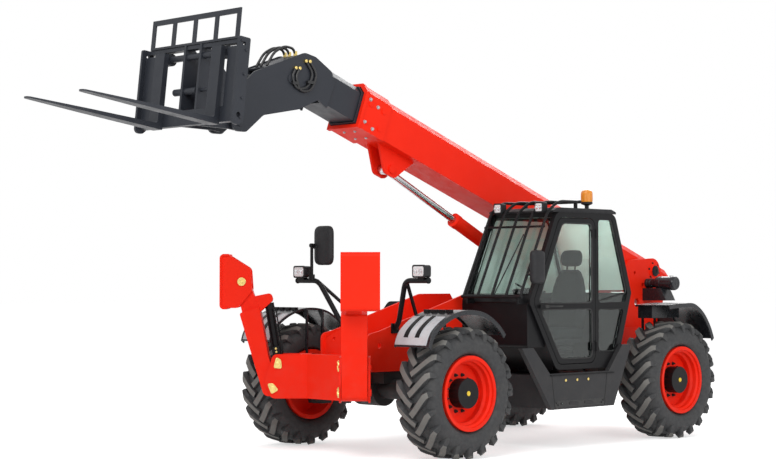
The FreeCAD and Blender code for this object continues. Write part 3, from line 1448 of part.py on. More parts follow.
def make_cab_frame():
    """The cab's welded frame: two side rings, sill, footwell, front and rear panels."""
    outer, inner = D["cab_outer_y"], D["cab_inner_y"]
    wall = D["cab_wall"]
    outside = cab_points(as_size(0.0))
    none = as_size(0.0)
    ring = cab_ring(none)
    door_gap = rounded(door_outline(none), D["window_corner"] + D["door_post"])
    door_side = plate("cab_door_side", "XZ", [ring, door_gap, quarter_window(none), quarter_low_window(none)],
                      (outer - wall, outer))
    boom_side = plate("cab_boom_side", "XZ", [ring, side_window(none)], (inner, inner + wall))
    across = (inner + wall, outer - wall)
    floor = box("cab_floor", (D["cab_heel_x"] + 60, D["cab_foot_x"] - 30), across,
                (D["cab_sill_z"], D["cab_sill_z"] + wall))
    points = cab_points(wall)
    front_low = plate("cab_front_low", "XZ", [[outside[1], outside[2], points[2], points[1]]], across)
    brow = plate("cab_brow", "XZ", [[(outside[3][0] - 30, outside[3][1]), (outside[3][0] - 90, outside[3][1]),
                                     (points[3][0] - 70, points[3][1]), points[3]]], across)
    cowl_top = D["cab_nose_z"] + 70
    cowl = plate("cab_cowl", "XZ", [[outside[2], (outside[2][0] - 35, cowl_top), (points[2][0] - 35, cowl_top),
                                     points[2]]], across)
    footwell_x = outside[1][0] + (outside[2][0] - outside[1][0]) * 0.34
    footwell_z = outside[1][1] + (outside[2][1] - outside[1][1]) * 0.34
    footwell = plate("cab_footwell", "XZ", [[
        (footwell_x, footwell_z), (outside[2][0] - 4, footwell_z, 30), (outside[2][0] - 4, outside[2][1] - 12),
        (outside[2][0] - 14, outside[2][1] - 12)]], (inner, outer - 30))
    back_low = plate("cab_back_low", "XZ", [[outside[0], points[0], points[5], outside[5]]], across)
    header = plate("cab_header", "XZ", [[(outside[4][0] + 30, outside[4][1]), (outside[4][0] + 90, outside[4][1]),
                                         (points[4][0] + 70, points[4][1]), points[4]]], across)
    mount = box("cab_mount", (D["cab_heel_x"] + 150, D["cab_foot_x"] - 150),
                (D["chassis_half_width"] + D["seat_gap"], inner + wall + 200),
                (D["box_top"] + D["seat_gap"], D["cab_sill_z"]))
    pieces = [door_side, boom_side, floor, front_low, brow, cowl, footwell, back_low, header, mount]
    finish(fuse("cab_frame", pieces), "cab_frame")


def make_cab_roof():
    """The roof cap, higher in its middle, with a gutter edge all round."""
    low = D["cab_eave_z"] + D["seat_gap"]
    high = low + D["roof_thickness"]
    outline = [
        (D["cab_roof_rear_x"] - 40, low),
        (D["cab_brow_x"] + 25, low),
        (D["cab_brow_x"] + 25, low + 14, 6),
        (D["cab_brow_x"] - 45, high, 30),
        (D["cab_roof_rear_x"] + 30, high, 30),
        (D["cab_roof_rear_x"] - 40, low + 20, 8),
    ]
    roof = plate("roof_cap", "XZ", [outline], (D["cab_inner_y"] + 20, D["cab_outer_y"] - 20))
    finish(fuse("cab_roof", [roof]), "cab_roof")


def slanted_pane(name, low_point, high_point, across, shift):
    """A pane that leans between two places of the side outline."""
    dx = high_point[0].value - low_point[0].value
    dz = high_point[1].value - low_point[1].value
    length = math.hypot(dx, dz)
    side_x, side_z = dz / length, -dx / length
    start = [(low_point[0] + shift * side_x, low_point[1] + shift * side_z),
             (high_point[0] + shift * side_x, high_point[1] + shift * side_z)]
    thick = D["glass_thickness"]
    outline = [start[0], start[1], (start[1][0] + thick * side_x, start[1][1] + thick * side_z),
               (start[0][0] + thick * side_x, start[0][1] + thick * side_z)]
    return plate(name, "XZ", [outline], across)


def make_cab_glass():
    """The fixed panes: windscreen, rear, both quarter panes and boom side."""
    gap = D["seat_gap"]
    outer, inner = D["cab_outer_y"], D["cab_inner_y"]
    wall = D["cab_wall"]
    glass = D["glass_thickness"]
    pane_span = (outer - wall / 2 - glass, outer - wall / 2)
    quarter = plate("quarter_pane", "XZ", [quarter_window(gap)], pane_span)
    quarter_low = plate("quarter_low_pane", "XZ", [quarter_low_window(gap)], pane_span)
    boom_side = plate("boom_side_pane", "XZ", [side_window(gap)], (inner + wall / 2, inner + wall / 2 + glass))
    across = (inner + wall + gap, outer - wall - gap)
    points = cab_points(wall)
    outside = cab_points(as_size(0.0))
    cowl = (points[2][0] - 26, D["cab_nose_z"] + 80)
    brow = (points[3][0] + 14, points[3][1] - 4)
    screen = slanted_pane("windscreen_pane", cowl, brow, across, -14)
    rear_low = (outside[5][0] + 18, D["cab_back_z"] + 8)
    rear_high = (points[4][0] - 16, points[4][1] - 4)
    rear = slanted_pane("rear_pane", rear_low, rear_high, across, 6)
    finish(group("cab_glass", [quarter, quarter_low, boom_side, screen, rear]), "cab_glass")


def make_door():
    """The door's frame with its middle rail, hinges and handle."""
    outer = D["cab_outer_y"]
    edge = rounded(door_outline(D["running_gap"]), D["window_corner"] + D["door_post"] - D["running_gap"])
    ring = plate("door_ring", "XZ", [edge, door_window(True, as_size(0.0)), door_window(False, as_size(0.0))],
                 (outer - D["cab_wall"] + 5, outer))
    handle = box("door_handle", (430, 560), (outer, outer + 26), (D["door_rail_z"] + 12, D["door_rail_z"] + 46))
    hinges = []
    hinge_x = D["door_hinge_x"] + 3
    for index, level in enumerate((D["cab_sill_z"] + 160, D["cab_eave_z"] - 240)):
        hinges.append(rod("door_hinge_%d" % index, "Z", (hinge_x, outer + 12 + D["seat_gap"]), 12,
                          (level, level + 90)))
        hinges.append(box("hinge_leaf_%d" % index, (hinge_x + 6, hinge_x + 67),
                          (outer, outer + 10), (level + 8, level + 82)))
    finish(fuse("door_frame", [ring, handle] + hinges), "door_frame")


def make_door_glass():
    """The door's two panes."""
    middle = D["cab_outer_y"] - D["cab_wall"] / 2
    glass = D["glass_thickness"]
    panes = [plate("door_pane_high", "XZ", [door_window(True, D["seat_gap"])], (middle, middle + glass)),
             plate("door_pane_low", "XZ", [door_window(False, D["seat_gap"])], (middle, middle + glass))]
    finish(group("door_glass", panes), "door_glass")


def make_guard():
    """Upright tubes in front of the windscreen that bend back over the roof."""
    outer, inner = D["cab_outer_y"] - 30, D["cab_inner_y"] + 110
    radius = D["guard_tube_radius"]
    count = int(D["guard_tubes"].value)
    foot_x, foot_z = D["cab_nose_x"] + D["guard_offset"], D["cab_nose_z"] + 50
    brow_x, brow_z = D["cab_brow_x"] + D["guard_offset"], D["cab_eave_z"] + 5
    roof_z = D["cab_eave_z"] + D["roof_thickness"] + 60
    tail_x = D["cab_brow_x"] - 360
    step = (outer - inner) / (count - 1)
    pieces = []
    for index in range(count):
        y = inner + step * index
        pieces.append(pipe("guard_tube_%d" % index, [(foot_x, y, foot_z), (brow_x, y, brow_z),
                                                     (brow_x - 160, y, roof_z), (tail_x, y, roof_z)],
                           radius, 70.0))
    pieces.append(rod("guard_low_bar", "Y", (foot_x, foot_z), radius + 3, (inner - 20, outer + 20)))
    pieces.append(rod("guard_high_bar", "Y", (tail_x, roof_z), radius + 3, (inner - 20, outer + 20)))
    middle_x = foot_x + (brow_x - foot_x) * 0.82
    middle_z = foot_z + (brow_z - foot_z) * 0.82
    pieces.append(rod("guard_middle_bar", "Y", (middle_x, middle_z), radius, (inner - 20, outer + 20)))
    roof_top = D["cab_eave_z"] + D["seat_gap"] * 2 + D["roof_thickness"]
    for index, y in enumerate((inner + 40, outer - 40)):
        pieces.append(box("guard_foot_%d" % index, (D["cab_nose_x"] + D["seat_gap"], foot_x), (y - 12, y + 12),
                          (foot_z - 66, foot_z + 8)))
        pieces.append(box("guard_post_%d" % index, (tail_x - 15, tail_x + 15), (y - 12, y + 12), (roof_top, roof_z)))
    mirror_level = D["cab_nose_z"] + 250
    stub_x = foot_x + (brow_x - foot_x) * (mirror_level - foot_z) / (brow_z - foot_z)
    pieces.append(rod("mirror_stub", "Y", (stub_x, mirror_level), 9,
                      (outer, D["cab_outer_y"] + D["mirror_stand_off"] - D["seat_gap"])))
    finish(fuse("window_guard", pieces), "window_guard")


def make_console():
    """The dashboard, steering column and steering wheel."""
    floor = D["cab_sill_z"] + D["cab_wall"] + D["seat_gap"]
    middle = (D["cab_outer_y"] + D["cab_inner_y"]) / 2
    dash = plate("dash", "XZ", [[(265, floor + 30), (425, floor + 290), (560, floor + 540, 60),
                                 (420, floor + 610, 60), (285, floor + 540), (280, floor + 420), (225, floor)]],
                 (middle - 210, middle + 210))
    wheel_place = (190, middle, floor + 672)
    column = pipe("steering_column", [(330, middle, floor + 480), wheel_place], 26, 60.0)
    tilt = FreeCAD.Rotation(FreeCAD.Vector(0, 1, 0), -35)
    count = int(D["steering_wheel_sides"].value)
    ring = faceted_ring("steering_ring", [(160, 0), (175, -13), (190, 0), (175, 13)], count)
    upright = FreeCAD.Rotation(FreeCAD.Vector(1, 0, 0), 90)
    wheel = moved("steering_wheel", ring, wheel_place[0], wheel_place[1], wheel_place[2], tilt.multiply(upright))
    hub = rod("steering_spoke", "Y", (wheel_place[0], wheel_place[2]), 12, (middle - 175, middle + 175))
    finish(fuse("console", [dash, column, wheel, hub]), "console")


def make_seat():
    """The driver's seat: base, cushion, back and head rest as one plain soft form."""
    floor = D["cab_sill_z"] + D["cab_wall"] + D["seat_gap"]
    middle = (D["cab_outer_y"] + D["cab_inner_y"]) / 2
    half = D["seat_width"] / 2
    x, z = D["seat_x"], D["seat_z"]
    base = box("seat_base", (x - 180, x + 160), (middle - 170, middle + 170), (floor, z - 130))
    cushion = plate("seat_cushion", "XZ", [[(x - 260, z - 130), (x + 250, z - 130), (x + 270, z + 10, 40),
                                            (x - 260, z - 10)]], (middle - half, middle + half))
    back = plate("seat_back", "XZ", [[(x - 260, z - 60), (x - 140, z - 60), (x - 220, z + 560, 50),
                                      (x - 330, z + 560, 40)]], (middle - half + 10, middle + half - 10))
    rest = plate("head_rest", "XZ", [[(x - 330, z + 555), (x - 235, z + 555), (x - 255, z + 740, 40),
                                      (x - 350, z + 740, 40)]], (middle - 130, middle + 130))
    finish(fuse("seat", [base, cushion, back, rest]), "seat")


def make_side_box():
    """The box below the cab and the slanted cradle that carries the cab."""
    outer = D["box_outer_y"]
    low, high = D["box_bottom"], D["box_top"]
    cradle_outline = [
        (D["cradle_front_x"], D["cradle_top"]),
        (D["cradle_front_x"] - D["cradle_width"], D["cradle_top"]),
        (D["box_front_x"] + 20, high + 20),
        (D["box_rear_x"] + 10, high + 20),
        (D["cradle_rear_x"] + D["cradle_width"] - 20, D["cradle_top"]),
        (D["cradle_rear_x"], D["cradle_top"]),
        (D["box_rear_x"] - 70, low),
        (D["box_front_x"], low),
    ]
    inside = D["cab_outer_y"] + 2
    cradle = plate("cradle_plate", "XZ", [cradle_outline], (inside, outer))
    tank = box("side_tank", (D["box_rear_x"], D["box_front_x"]),
               (D["chassis_half_width"] + 60, inside), (low + 10, high))
    span = (D["box_rear_x"] + 200, D["box_front_x"] - 200)
    hanger = box("tank_hanger", span, (-chassis_inside(), D["chassis_half_width"] + 60), (high - 60, high))
    riser = box("tank_riser", span, (-chassis_inside(), chassis_inside()),
                (high, D["chassis_bottom"] - D["seat_gap"]))
    finish(fuse("side_box", [cradle, tank, hanger, riser]), "side_box")


# engine side

def make_engine():
    """The engine as one plain block on its tray."""
    inner = -D["chassis_half_width"] - 90
    low = D["hood_bottom"] + D["seat_gap"]
    middle = D["hood_middle_x"]
    block = box("engine", (middle - D["engine_length"] / 2, middle + D["engine_length"] / 2),
                (inner - D["engine_width"], inner), (low, low + D["engine_height"]))
    finish(fuse("engine_block", [block]), "engine_block")


def make_engine_tray():
    """The tray and bulkhead that carry the engine on the chassis."""
    inner = -D["chassis_half_width"] - D["seat_gap"]
    low = D["hood_bottom"]
    span = (D["hood_middle_x"] - D["hood_half_length"], D["hood_middle_x"] + D["hood_half_length"])
    tray = box("tray_floor", span, (-D["hood_outer_y"] + 20, inner), (low - 30, low))
    wall = box("tray_wall", span, (inner - 30, inner), (low, D["chassis_bottom"] + 280))
    finish(fuse("engine_tray", [tray, wall]), "engine_tray")


def make_hood():
    """The engine hood: a hollow cover, open below and towards the chassis."""
    wall = D["hood_wall"]
    inner = -D["chassis_half_width"] - 36
    outer = -D["hood_outer_y"]
    low = D["hood_bottom"] + D["seat_gap"]
    high = D["hood_top"]
    front, rear = D["hood_middle_x"] + D["hood_half_length"], D["hood_middle_x"] - D["hood_half_length"]
    shell = plate("hood_shell", "YZ", [[
        (inner, low), (outer, low), (outer, high - 170, 90), (outer + 160, high, 90), (inner, high)]],
        (rear, front))
    hollow = plate("hood_hollow", "YZ", [[
        (inner + 1, low - 1), (outer + wall, low - 1), (outer + wall, high - 170 - wall * 0.4, 90 - wall),
        (outer + 160 + wall * 0.4, high - wall, 90 - wall), (inner + 1, high - wall)]],
        (rear + wall, front - wall))
    finish(cut("engine_hood", shell, hollow), "engine_hood")


# lamps, mirrors, beacon and air cleaner

def lamp_box(name, x, y, z):
    """A lamp housing with rounded corners that faces forward."""
    half_w, half_h = D["lamp_width"] / 2, D["lamp_height"] / 2
    outline = [(y - half_w, z - half_h, 24), (y + half_w, z - half_h, 24),
               (y + half_w, z + half_h, 24), (y - half_w, z + half_h, 24)]
    return plate(name, "YZ", [outline], (x - D["lamp_depth"], x))


def make_lamps():
    """Two headlamps on hoops and two work lamps above the windscreen."""
    pieces = []
    for side in (-1, 1):
        pieces.append(lamp_box("headlamp_%d" % side, D["lamp_x"] + 30, D["lamp_y"] * side, D["lamp_z"]))
    half = D["roof_lamp_width"] / 2
    for index, y in enumerate((D["cab_inner_y"] + 190, D["cab_outer_y"] - 138)):
        x = D["cab_brow_x"] + 25 + D["seat_gap"] + 66
        low = D["cab_eave_z"] - 4
        outline = [(y - half, low, 18), (y + half, low, 18), (y + half, low + half * 2, 18),
                   (y - half, low + half * 2, 18)]
        pieces.append(plate("roof_lamp_%d" % index, "YZ", [outline], (x - 66, x)))
    finish(group("lamps", pieces), "lamps")


def hoop_foot(name, along, side, level):
    """The plate on the chassis side that a hoop's tube is welded to."""
    near = D["chassis_half_width"] + D["seat_gap"]
    span = (near, near + 16) if side > 0 else (-near - 16, -near)
    return box(name, (along - 45, along + 45), span, (level - 45, level + 45))


def make_hoops():
    """Bent tubes from the chassis plates that carry the headlamps, and the right mirror's arm."""
    radius = D["hoop_radius"]
    half = D["chassis_half_width"] + D["seat_gap"]
    pieces = []
    post_x = D["lamp_x"] - D["lamp_depth"] / 2 + 20
    level = D["lamp_z"] - D["lamp_height"] / 2 - D["seat_gap"] - radius - 8
    for side in (-1, 1):
        start = D["ramp_front"] + 30
        foot = D["ramp_front_height"] - 40
        for word, along in (("hoop", start), ("strut", start - 260)):
            pieces.append(hoop_foot("%s_foot_%d" % (word, side), along, side, foot))
        pieces.append(pipe("lamp_hoop_%d" % side, [
            (start, (half + 14) * side, foot), (start + 20, (half + 80) * side, foot + 60),
            (post_x, (half + 265) * side, level), (post_x, (D["lamp_y"] + 70) * side, level)], radius, 60.0))
        pieces.append(pipe("hoop_strut_%d" % side, [
            (start - 260, (half + 14) * side, foot), (start - 250, (half + 60) * side, foot + 50),
            (post_x, (half + 280) * side, level)], radius - 4, 50.0))
        y_low, y_high = sorted(((D["lamp_y"] - 35).value * side, (D["lamp_y"] + 35).value * side))
        pieces.append(box("lamp_foot_%d" % side, (post_x - 25, post_x + 25), (y_low, y_high),
                          (level, level + radius + 8)))
    arm_y = D["mirror_y"] - D["mirror_width"] / 2 + 22
    arm_x = post_x + 14
    face = D["mirror_x"] + D["mirror_depth"] + D["seat_gap"]
    pieces.append(pipe("mirror_arm", [(arm_x, arm_y, level), (arm_x, arm_y, D["mirror_z"] + 20)], 13, 60.0))
    pieces.append(rod("mirror_clamp", "X", (arm_y, D["mirror_z"]), 16, (face, arm_x)))
    finish(fuse("lamp_hoops", pieces), "lamp_hoops")


def mirror_head(name, x, y, z, height):
    """A tall rounded mirror head."""
    half_w, half_h = D["mirror_width"] / 2, height / 2
    corner = D["mirror_width"] * 0.3
    outline = [(y - half_w, z - half_h, corner), (y + half_w, z - half_h, corner),
               (y + half_w, z + half_h, corner), (y - half_w, z + half_h, corner)]
    return plate(name, "YZ", [outline], (x, x + D["mirror_depth"]))


def make_mirrors():
    """The right mirror on the hoop and the left one, folded in, on the window guard."""
    head = mirror_head("mirror_right_head", D["mirror_x"], D["mirror_y"], D["mirror_z"], D["mirror_height"])
    finish(fuse("mirror_right", [head]), "mirror_right")
    side_face = D["cab_outer_y"] + D["mirror_stand_off"]
    x_low, x_high = D["cab_nose_x"] - 142, D["cab_nose_x"] + 32
    z_low, z_high = D["cab_nose_z"] + 170, D["cab_nose_z"] + 474
    outline = rounded([(x_low, z_low), (x_high, z_low), (x_high, z_high), (x_low, z_high)], as_size(44.0))
    folded = plate("mirror_left_head", "XZ", [outline], (side_face, side_face + D["mirror_depth"]))
    finish(fuse("mirror_left", [folded]), "mirror_left")


def make_beacon():
    """The amber beacon on its stalk at the rear of the roof."""
    roof_top = D["cab_eave_z"] + D["seat_gap"] * 2 + D["roof_thickness"]
    x, y = D["beacon_x"], D["beacon_y"]
    radius = D["beacon_radius"]
    top = roof_top + 70 + D["beacon_height"]
    base = rod("beacon_base", "Z", (x, y), radius * 0.85, (roof_top, roof_top + 71))
    dome = rod("beacon_dome", "Z", (x, y), radius, (roof_top + 70, top - radius * 0.4))
    crown = doc.addObject("Part::Cone", "beacon_crown")
    crown.Radius1 = radius.value
    crown.Radius2 = (radius * 0.6).value
    crown.Height = (radius * 0.4).value
    bind(crown, "Radius1", radius)
    bind(crown, "Radius2", radius * 0.6)
    bind(crown, "Height", radius * 0.4)
    move_to(crown, x, y, top - radius * 0.4)
    finish(fuse("beacon", [base, dome, crown]), "beacon")


def make_air_cleaner():
    """The air cleaner lying across the rear end, with its inlet pipe and the bracket below it."""
    outside = D["tower_inside"] + D["tower_plate"] + D["seat_gap"]
    x, z = D["pivot_x"] + 120, D["pivot_z"] - 130
    neck_end = outside + D["cleaner_neck_length"]
    can = rod("cleaner_can", "Y", (x, z), D["cleaner_radius"], (neck_end, neck_end + D["cleaner_length"]))
    neck = rod("cleaner_neck", "Y", (x, z), D["cleaner_radius"] - 25, (outside, neck_end))
    foot_z = z - D["cleaner_radius"] - 110
    bracket = plate("cleaner_bracket", "YZ", [[
        (outside, foot_z), (neck_end + 160, foot_z, 20), (neck_end + 90, z - D["cleaner_radius"] + 20),
        (outside, z - D["cleaner_radius"] + 20)]], (x - 80, x + 80))
    finish(fuse("air_cleaner", [can, neck, bracket]), "air_cleaner")


def build():
    """Make every sub-part."""
    shape = tyre_shape()
    for name, along, side in WHEELS:
        make_tyre(name, along, side, shape)
        make_rim(name, along, side)
        make_knuckle(name, along, side)
    make_axle("axle_front", 0.5)
    make_axle("axle_rear", -0.5)
    make_chassis()
    make_tower()
    make_counterweight()
    make_hitch()
    make_outer_boom()
    make_middle_boom()
    make_inner_boom()
    make_head()
    make_carriage()
    make_forks()
    make_backrest()
    make_lift_cylinder()
    make_tilt_cylinder()
    make_stabiliser_frame()
    for side, word in ((1, "left"), (-1, "right")):
        make_leg(side, word)
        make_pad(side, word)
        make_leg_cylinder(side, word)
    make_cab_frame()
    make_cab_roof()
    make_cab_glass()
    make_door()
    make_door_glass()
    make_guard()
    make_console()
    make_seat()
    make_side_box()
    make_engine()
    make_engine_tray()
    make_hood()
    make_lamps()
    make_hoops()
    make_mirrors()
    make_beacon()
    make_air_cleaner()


def check_all():
    """Stop if any object failed or any sub-part has no valid solid."""
    failed = [item.Name for item in doc.Objects if "Invalid" in item.State or "Error" in item.State]
    if failed:
        raise RuntimeError("failed objects: " + ", ".join(failed))
    for piece in finished:
        if piece.Shape.isNull() or not piece.Shape.isValid() or not piece.Shape.Solids:
            raise RuntimeError("bad sub-part: " + piece.Label)


def export_all():
    """Write one STEP file for each sub-part."""
    os.makedirs("parts", exist_ok=True)
    for piece in finished:
        piece.Shape.exportStep(os.path.join("parts", piece.Label + ".step"))


build()
doc.recompute()
check_all()
export_all()
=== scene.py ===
"""Looks for the telehandler: materials, small fittings, light and camera.

Lengths are metres. X points forward, Y to the machine's left and Z up.
Places are written from the middle of the wheelbase, which lies behind the origin.
"""
import math

import bmesh
import bpy
from mathutils import Matrix, Vector


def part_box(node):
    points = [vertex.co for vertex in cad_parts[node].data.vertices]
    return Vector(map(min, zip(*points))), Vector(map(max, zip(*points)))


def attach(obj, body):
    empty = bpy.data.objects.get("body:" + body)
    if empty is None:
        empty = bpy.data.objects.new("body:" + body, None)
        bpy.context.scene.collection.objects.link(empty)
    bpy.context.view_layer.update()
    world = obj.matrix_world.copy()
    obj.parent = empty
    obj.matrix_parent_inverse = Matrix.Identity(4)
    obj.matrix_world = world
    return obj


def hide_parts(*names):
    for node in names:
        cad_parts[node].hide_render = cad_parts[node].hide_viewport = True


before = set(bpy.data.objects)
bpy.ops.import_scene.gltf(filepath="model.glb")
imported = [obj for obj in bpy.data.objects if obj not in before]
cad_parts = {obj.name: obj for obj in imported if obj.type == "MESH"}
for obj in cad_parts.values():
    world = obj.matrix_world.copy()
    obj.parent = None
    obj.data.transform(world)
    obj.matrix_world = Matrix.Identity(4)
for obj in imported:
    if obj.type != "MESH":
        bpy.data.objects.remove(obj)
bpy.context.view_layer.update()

# Driving places of the machine
ORIGIN_SHIFT = 1.120
HALF_WHEELBASE = 1.55
HALF_TRACK = 1.03
TYRE_RADIUS = 0.58
KINGPIN_OFFSET = 0.23
BOOM_PIVOT = (-2.40, 1.67)
BOOM_ANGLE = 20.0
BOOM_FRONT = 4.53
FORK_ANGLE = 6.5
TILT_PIN = (3.30988, 2.91042)
# A stabiliser leg: where its frame bends outwards, its hinge and cylinder foot as (out, height),
# its lean, and its foot pin's distance from the hinge
LEG_BEND = (2.089, 0.323)
LEG_HINGE = (0.300, 0.591)
LEG_LEAN = math.radians(16.6)
LEG_CYLINDER_FOOT = (0.254, 0.810)
PAD_PIN_REACH = 1.009
CAB_OUTER = 1.150
CAB_INNER = 0.311
CAB_MIDDLE = (CAB_OUTER + CAB_INNER) / 2
ROOF_TOP = 2.2496
BOX_SIDE = 1.200
HOOD_SIDE = -1.160
PLATE_SIDE = 0.3103
# Each wheel's name, end of the machine and side
WHEELS = (("front_left", 1, 1), ("front_right", 1, -1), ("rear_left", -1, 1), ("rear_right", -1, -1))
SIDES = ((1, "left"), (-1, "right"))


def at(x, y, z):
    """A place written from the middle of the wheelbase."""
    return Matrix.Translation((x - ORIGIN_SHIFT, y, z))


def shift(x, y, z):
    """A move inside another frame."""
    return Matrix.Translation((x, y, z))


def turn(degrees, axis):
    """A rotation about one axis."""
    return Matrix.Rotation(math.radians(degrees), 4, axis)


def toward(direction):
    """A rotation that takes Z to a direction."""
    return Vector(direction).to_track_quat("Z", "Y").to_matrix().to_4x4()


def span(start, end, side=1):
    """Two limits across the machine, the lower one first."""
    return tuple(sorted((start * side, end * side)))


def layer(outline, height):
    """An (x, y) outline at one height."""
    return [(*point, height) for point in outline]


HERE = at(0, 0, 0)
BOOM = at(BOOM_PIVOT[0], 0.0, BOOM_PIVOT[1]) @ turn(-BOOM_ANGLE, "Y")
CARRIAGE = at(TILT_PIN[0], 0.0, TILT_PIN[1]) @ turn(-FORK_ANGLE, "Y")
LEG = {side: at(LEG_BEND[0], LEG_BEND[1] * side, 0.0) @ turn(45.0 * side, "Z") for side in (1, -1)}


# Forms

SHARP_ANGLE = math.radians(35.0)


class Form:
    """Collects the faces of one piece and turns them into an object."""

    def __init__(self):
        self.bm = bmesh.new()

    def ring(self, points, place):
        return [self.bm.verts.new(place @ Vector(point)) for point in points]

    def join(self, low, high, material=0):
        """Faces between two rings, one of which may be a single point."""
        count = max(len(low), len(high))
        for index in range(count):
            after = (index + 1) % count
            corners = [low[index % len(low)], low[after % len(low)],
                       high[after % len(high)], high[index % len(high)]]
            unique = list(dict.fromkeys(corners))
            if len(unique) > 2:
                self.bm.faces.new(unique).material_index = material

    def chain(self, rings, material=0, capped=True):
        """Join each ring to the next and close the two ends."""
        for low, high in zip(rings, rings[1:]):
            self.join(low, high, material)
        if capped:
            self.cap(rings[0][::-1], material)
            self.cap(rings[-1], material)

    def cap(self, ring, material=0):
        if len(ring) > 2:
            self.bm.faces.new(ring).material_index = material

    def lathe(self, profile, place, segments=32, material=0, capped=True):
        """Turn (radius, height) points about the local Z axis."""
        steps = [math.tau * index / segments for index in range(segments)]
        rings = []
        for radius, height in profile:
            circle = [(radius * math.cos(angle), radius * math.sin(angle), height) for angle in steps]
            rings.append(self.ring(circle if radius else [(0, 0, height)], place))
        self.chain(rings, material, capped)

    def loft(self, sections, place, material=0):
        """Join outlines of equal length, each a list of local points, and close both ends."""
        self.chain([self.ring(section, place) for section in sections], material)

    def prism(self, outline, low, high, place, material=0):
        """Raise a local (x, y) outline between two heights."""
        self.loft([layer(outline, low), layer(outline, high)], place, material)

    def wall(self, outline, y, place=HERE, material=0):
        """Carry an (x, z) outline across a span of Y."""
        self.loft([[(x, across, z) for x, z in outline] for across in y], place, material)

    def block(self, x, y, z, place=HERE, material=0):
        """A block between three pairs of local limits."""
        corners = ((x[0], y[0]), (x[1], y[0]), (x[1], y[1]), (x[0], y[1]))
        self.prism(corners, z[0], z[1], place, material)

    def tube(self, points, radius, place=HERE, segments=10, closed=False, material=0):
        """A round bar along a path of local points."""
        path = [Vector(point) for point in points]
        count = len(path)
        side = None
        rings = []
        for index, point in enumerate(path):
            ahead = path[(index + 1) % count] if closed or index < count - 1 else point
            behind = path[index - 1] if closed or index else point
            along = (ahead - behind).normalized()
            if side is None:
                side = along.orthogonal().normalized()
            side = (side - along * side.dot(along)).normalized()
            other = along.cross(side)
            circle = []
            for step in range(segments):
                angle = math.tau * step / segments
                circle.append(point + (side * math.cos(angle) + other * math.sin(angle)) * radius)
            rings.append(self.ring(circle, place))
        self.chain(rings, material, not closed)
        if closed:
            self.close_tube(rings[-1], rings[0], material)

    def close_tube(self, last, first, material):
        """Join the end of a closed tube to its start at the nearest turn."""
        offset = min(range(len(first)), key=lambda step: (first[step].co - last[0].co).length)
        self.join(last, first[offset:] + first[:offset], material)

    def bolt(self, place, size, material=0):
        """A hexagon bolt head on its washer, standing up along local Z."""
        self.lathe([(size * 1.25, 0), (size * 1.25, size * 0.18)], place, 16, material)
        self.lathe([(size, size * 0.18), (size, size * 0.75), (size * 0.85, size * 0.9)], place, 6, material)

    def piece(self, name, body, materials, bevel=0.0, replaces=()):
        """Make the object with its materials and let it ride on a body."""
        bmesh.ops.recalc_face_normals(self.bm, faces=self.bm.faces)
        mesh = bpy.data.meshes.new(name)
        self.bm.to_mesh(mesh)
        self.bm.free()
        for material in materials:
            mesh.materials.append(material)
        mesh.polygons.foreach_set("use_smooth", [True] * len(mesh.polygons))
        mesh.set_sharp_from_angle(angle=SHARP_ANGLE)
        item = bpy.data.objects.new(name, mesh)
        bpy.context.collection.objects.link(item)
        if bevel:
            edge = item.modifiers.new("edge", "BEVEL")
            edge.width = bevel
            edge.segments = 2
            edge.limit_method = "ANGLE"
            edge.angle_limit = SHARP_ANGLE
        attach(item, body)
        if replaces:
            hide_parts(*replaces)
        return item


def rounded(points, reach, steps=4, closed=True):
    """A path with its corners rounded over a given reach."""
    corners = [Vector(point) for point in points]
    result = []
    for index, corner in enumerate(corners):
        if not closed and index in (0, len(corners) - 1):
            result.append(corner)
            continue
        before = corners[index - 1] - corner
        after = corners[(index + 1) % len(corners)] - corner
        cut = min(reach, before.length * 0.49, after.length * 0.49)
        start = corner + before.normalized() * cut
        end = corner + after.normalized() * cut
        for step in range(steps + 1):
            t = step / steps
            result.append(start * (1 - t) ** 2 + corner * 2 * t * (1 - t) + end * t ** 2)
    return result


def panel(half_x, half_y, corner):
    """A centred rectangle with rounded corners."""
    corners = [(-half_x, -half_y), (half_x, -half_y), (half_x, half_y), (-half_x, half_y)]
    return [tuple(point) for point in rounded(corners, corner, 5)]


def smooth_path(points, steps=4):
    """A rounder path through the same points."""
    result = []
    last = len(points) - 1
    for index in range(last):
        near = (points[max(index - 1, 0)], points[index], points[index + 1], points[min(index + 2, last)])
        for step in range(steps):
            t = step / steps
            result.append(tuple(0.5 * (2 * b + (c - a) * t + (2 * a - 5 * b + 4 * c - d) * t * t
                                       + (3 * b - a - 3 * c + d) * t ** 3)
                                for a, b, c, d in zip(*near)))
    return result + [points[last]]


# Materials

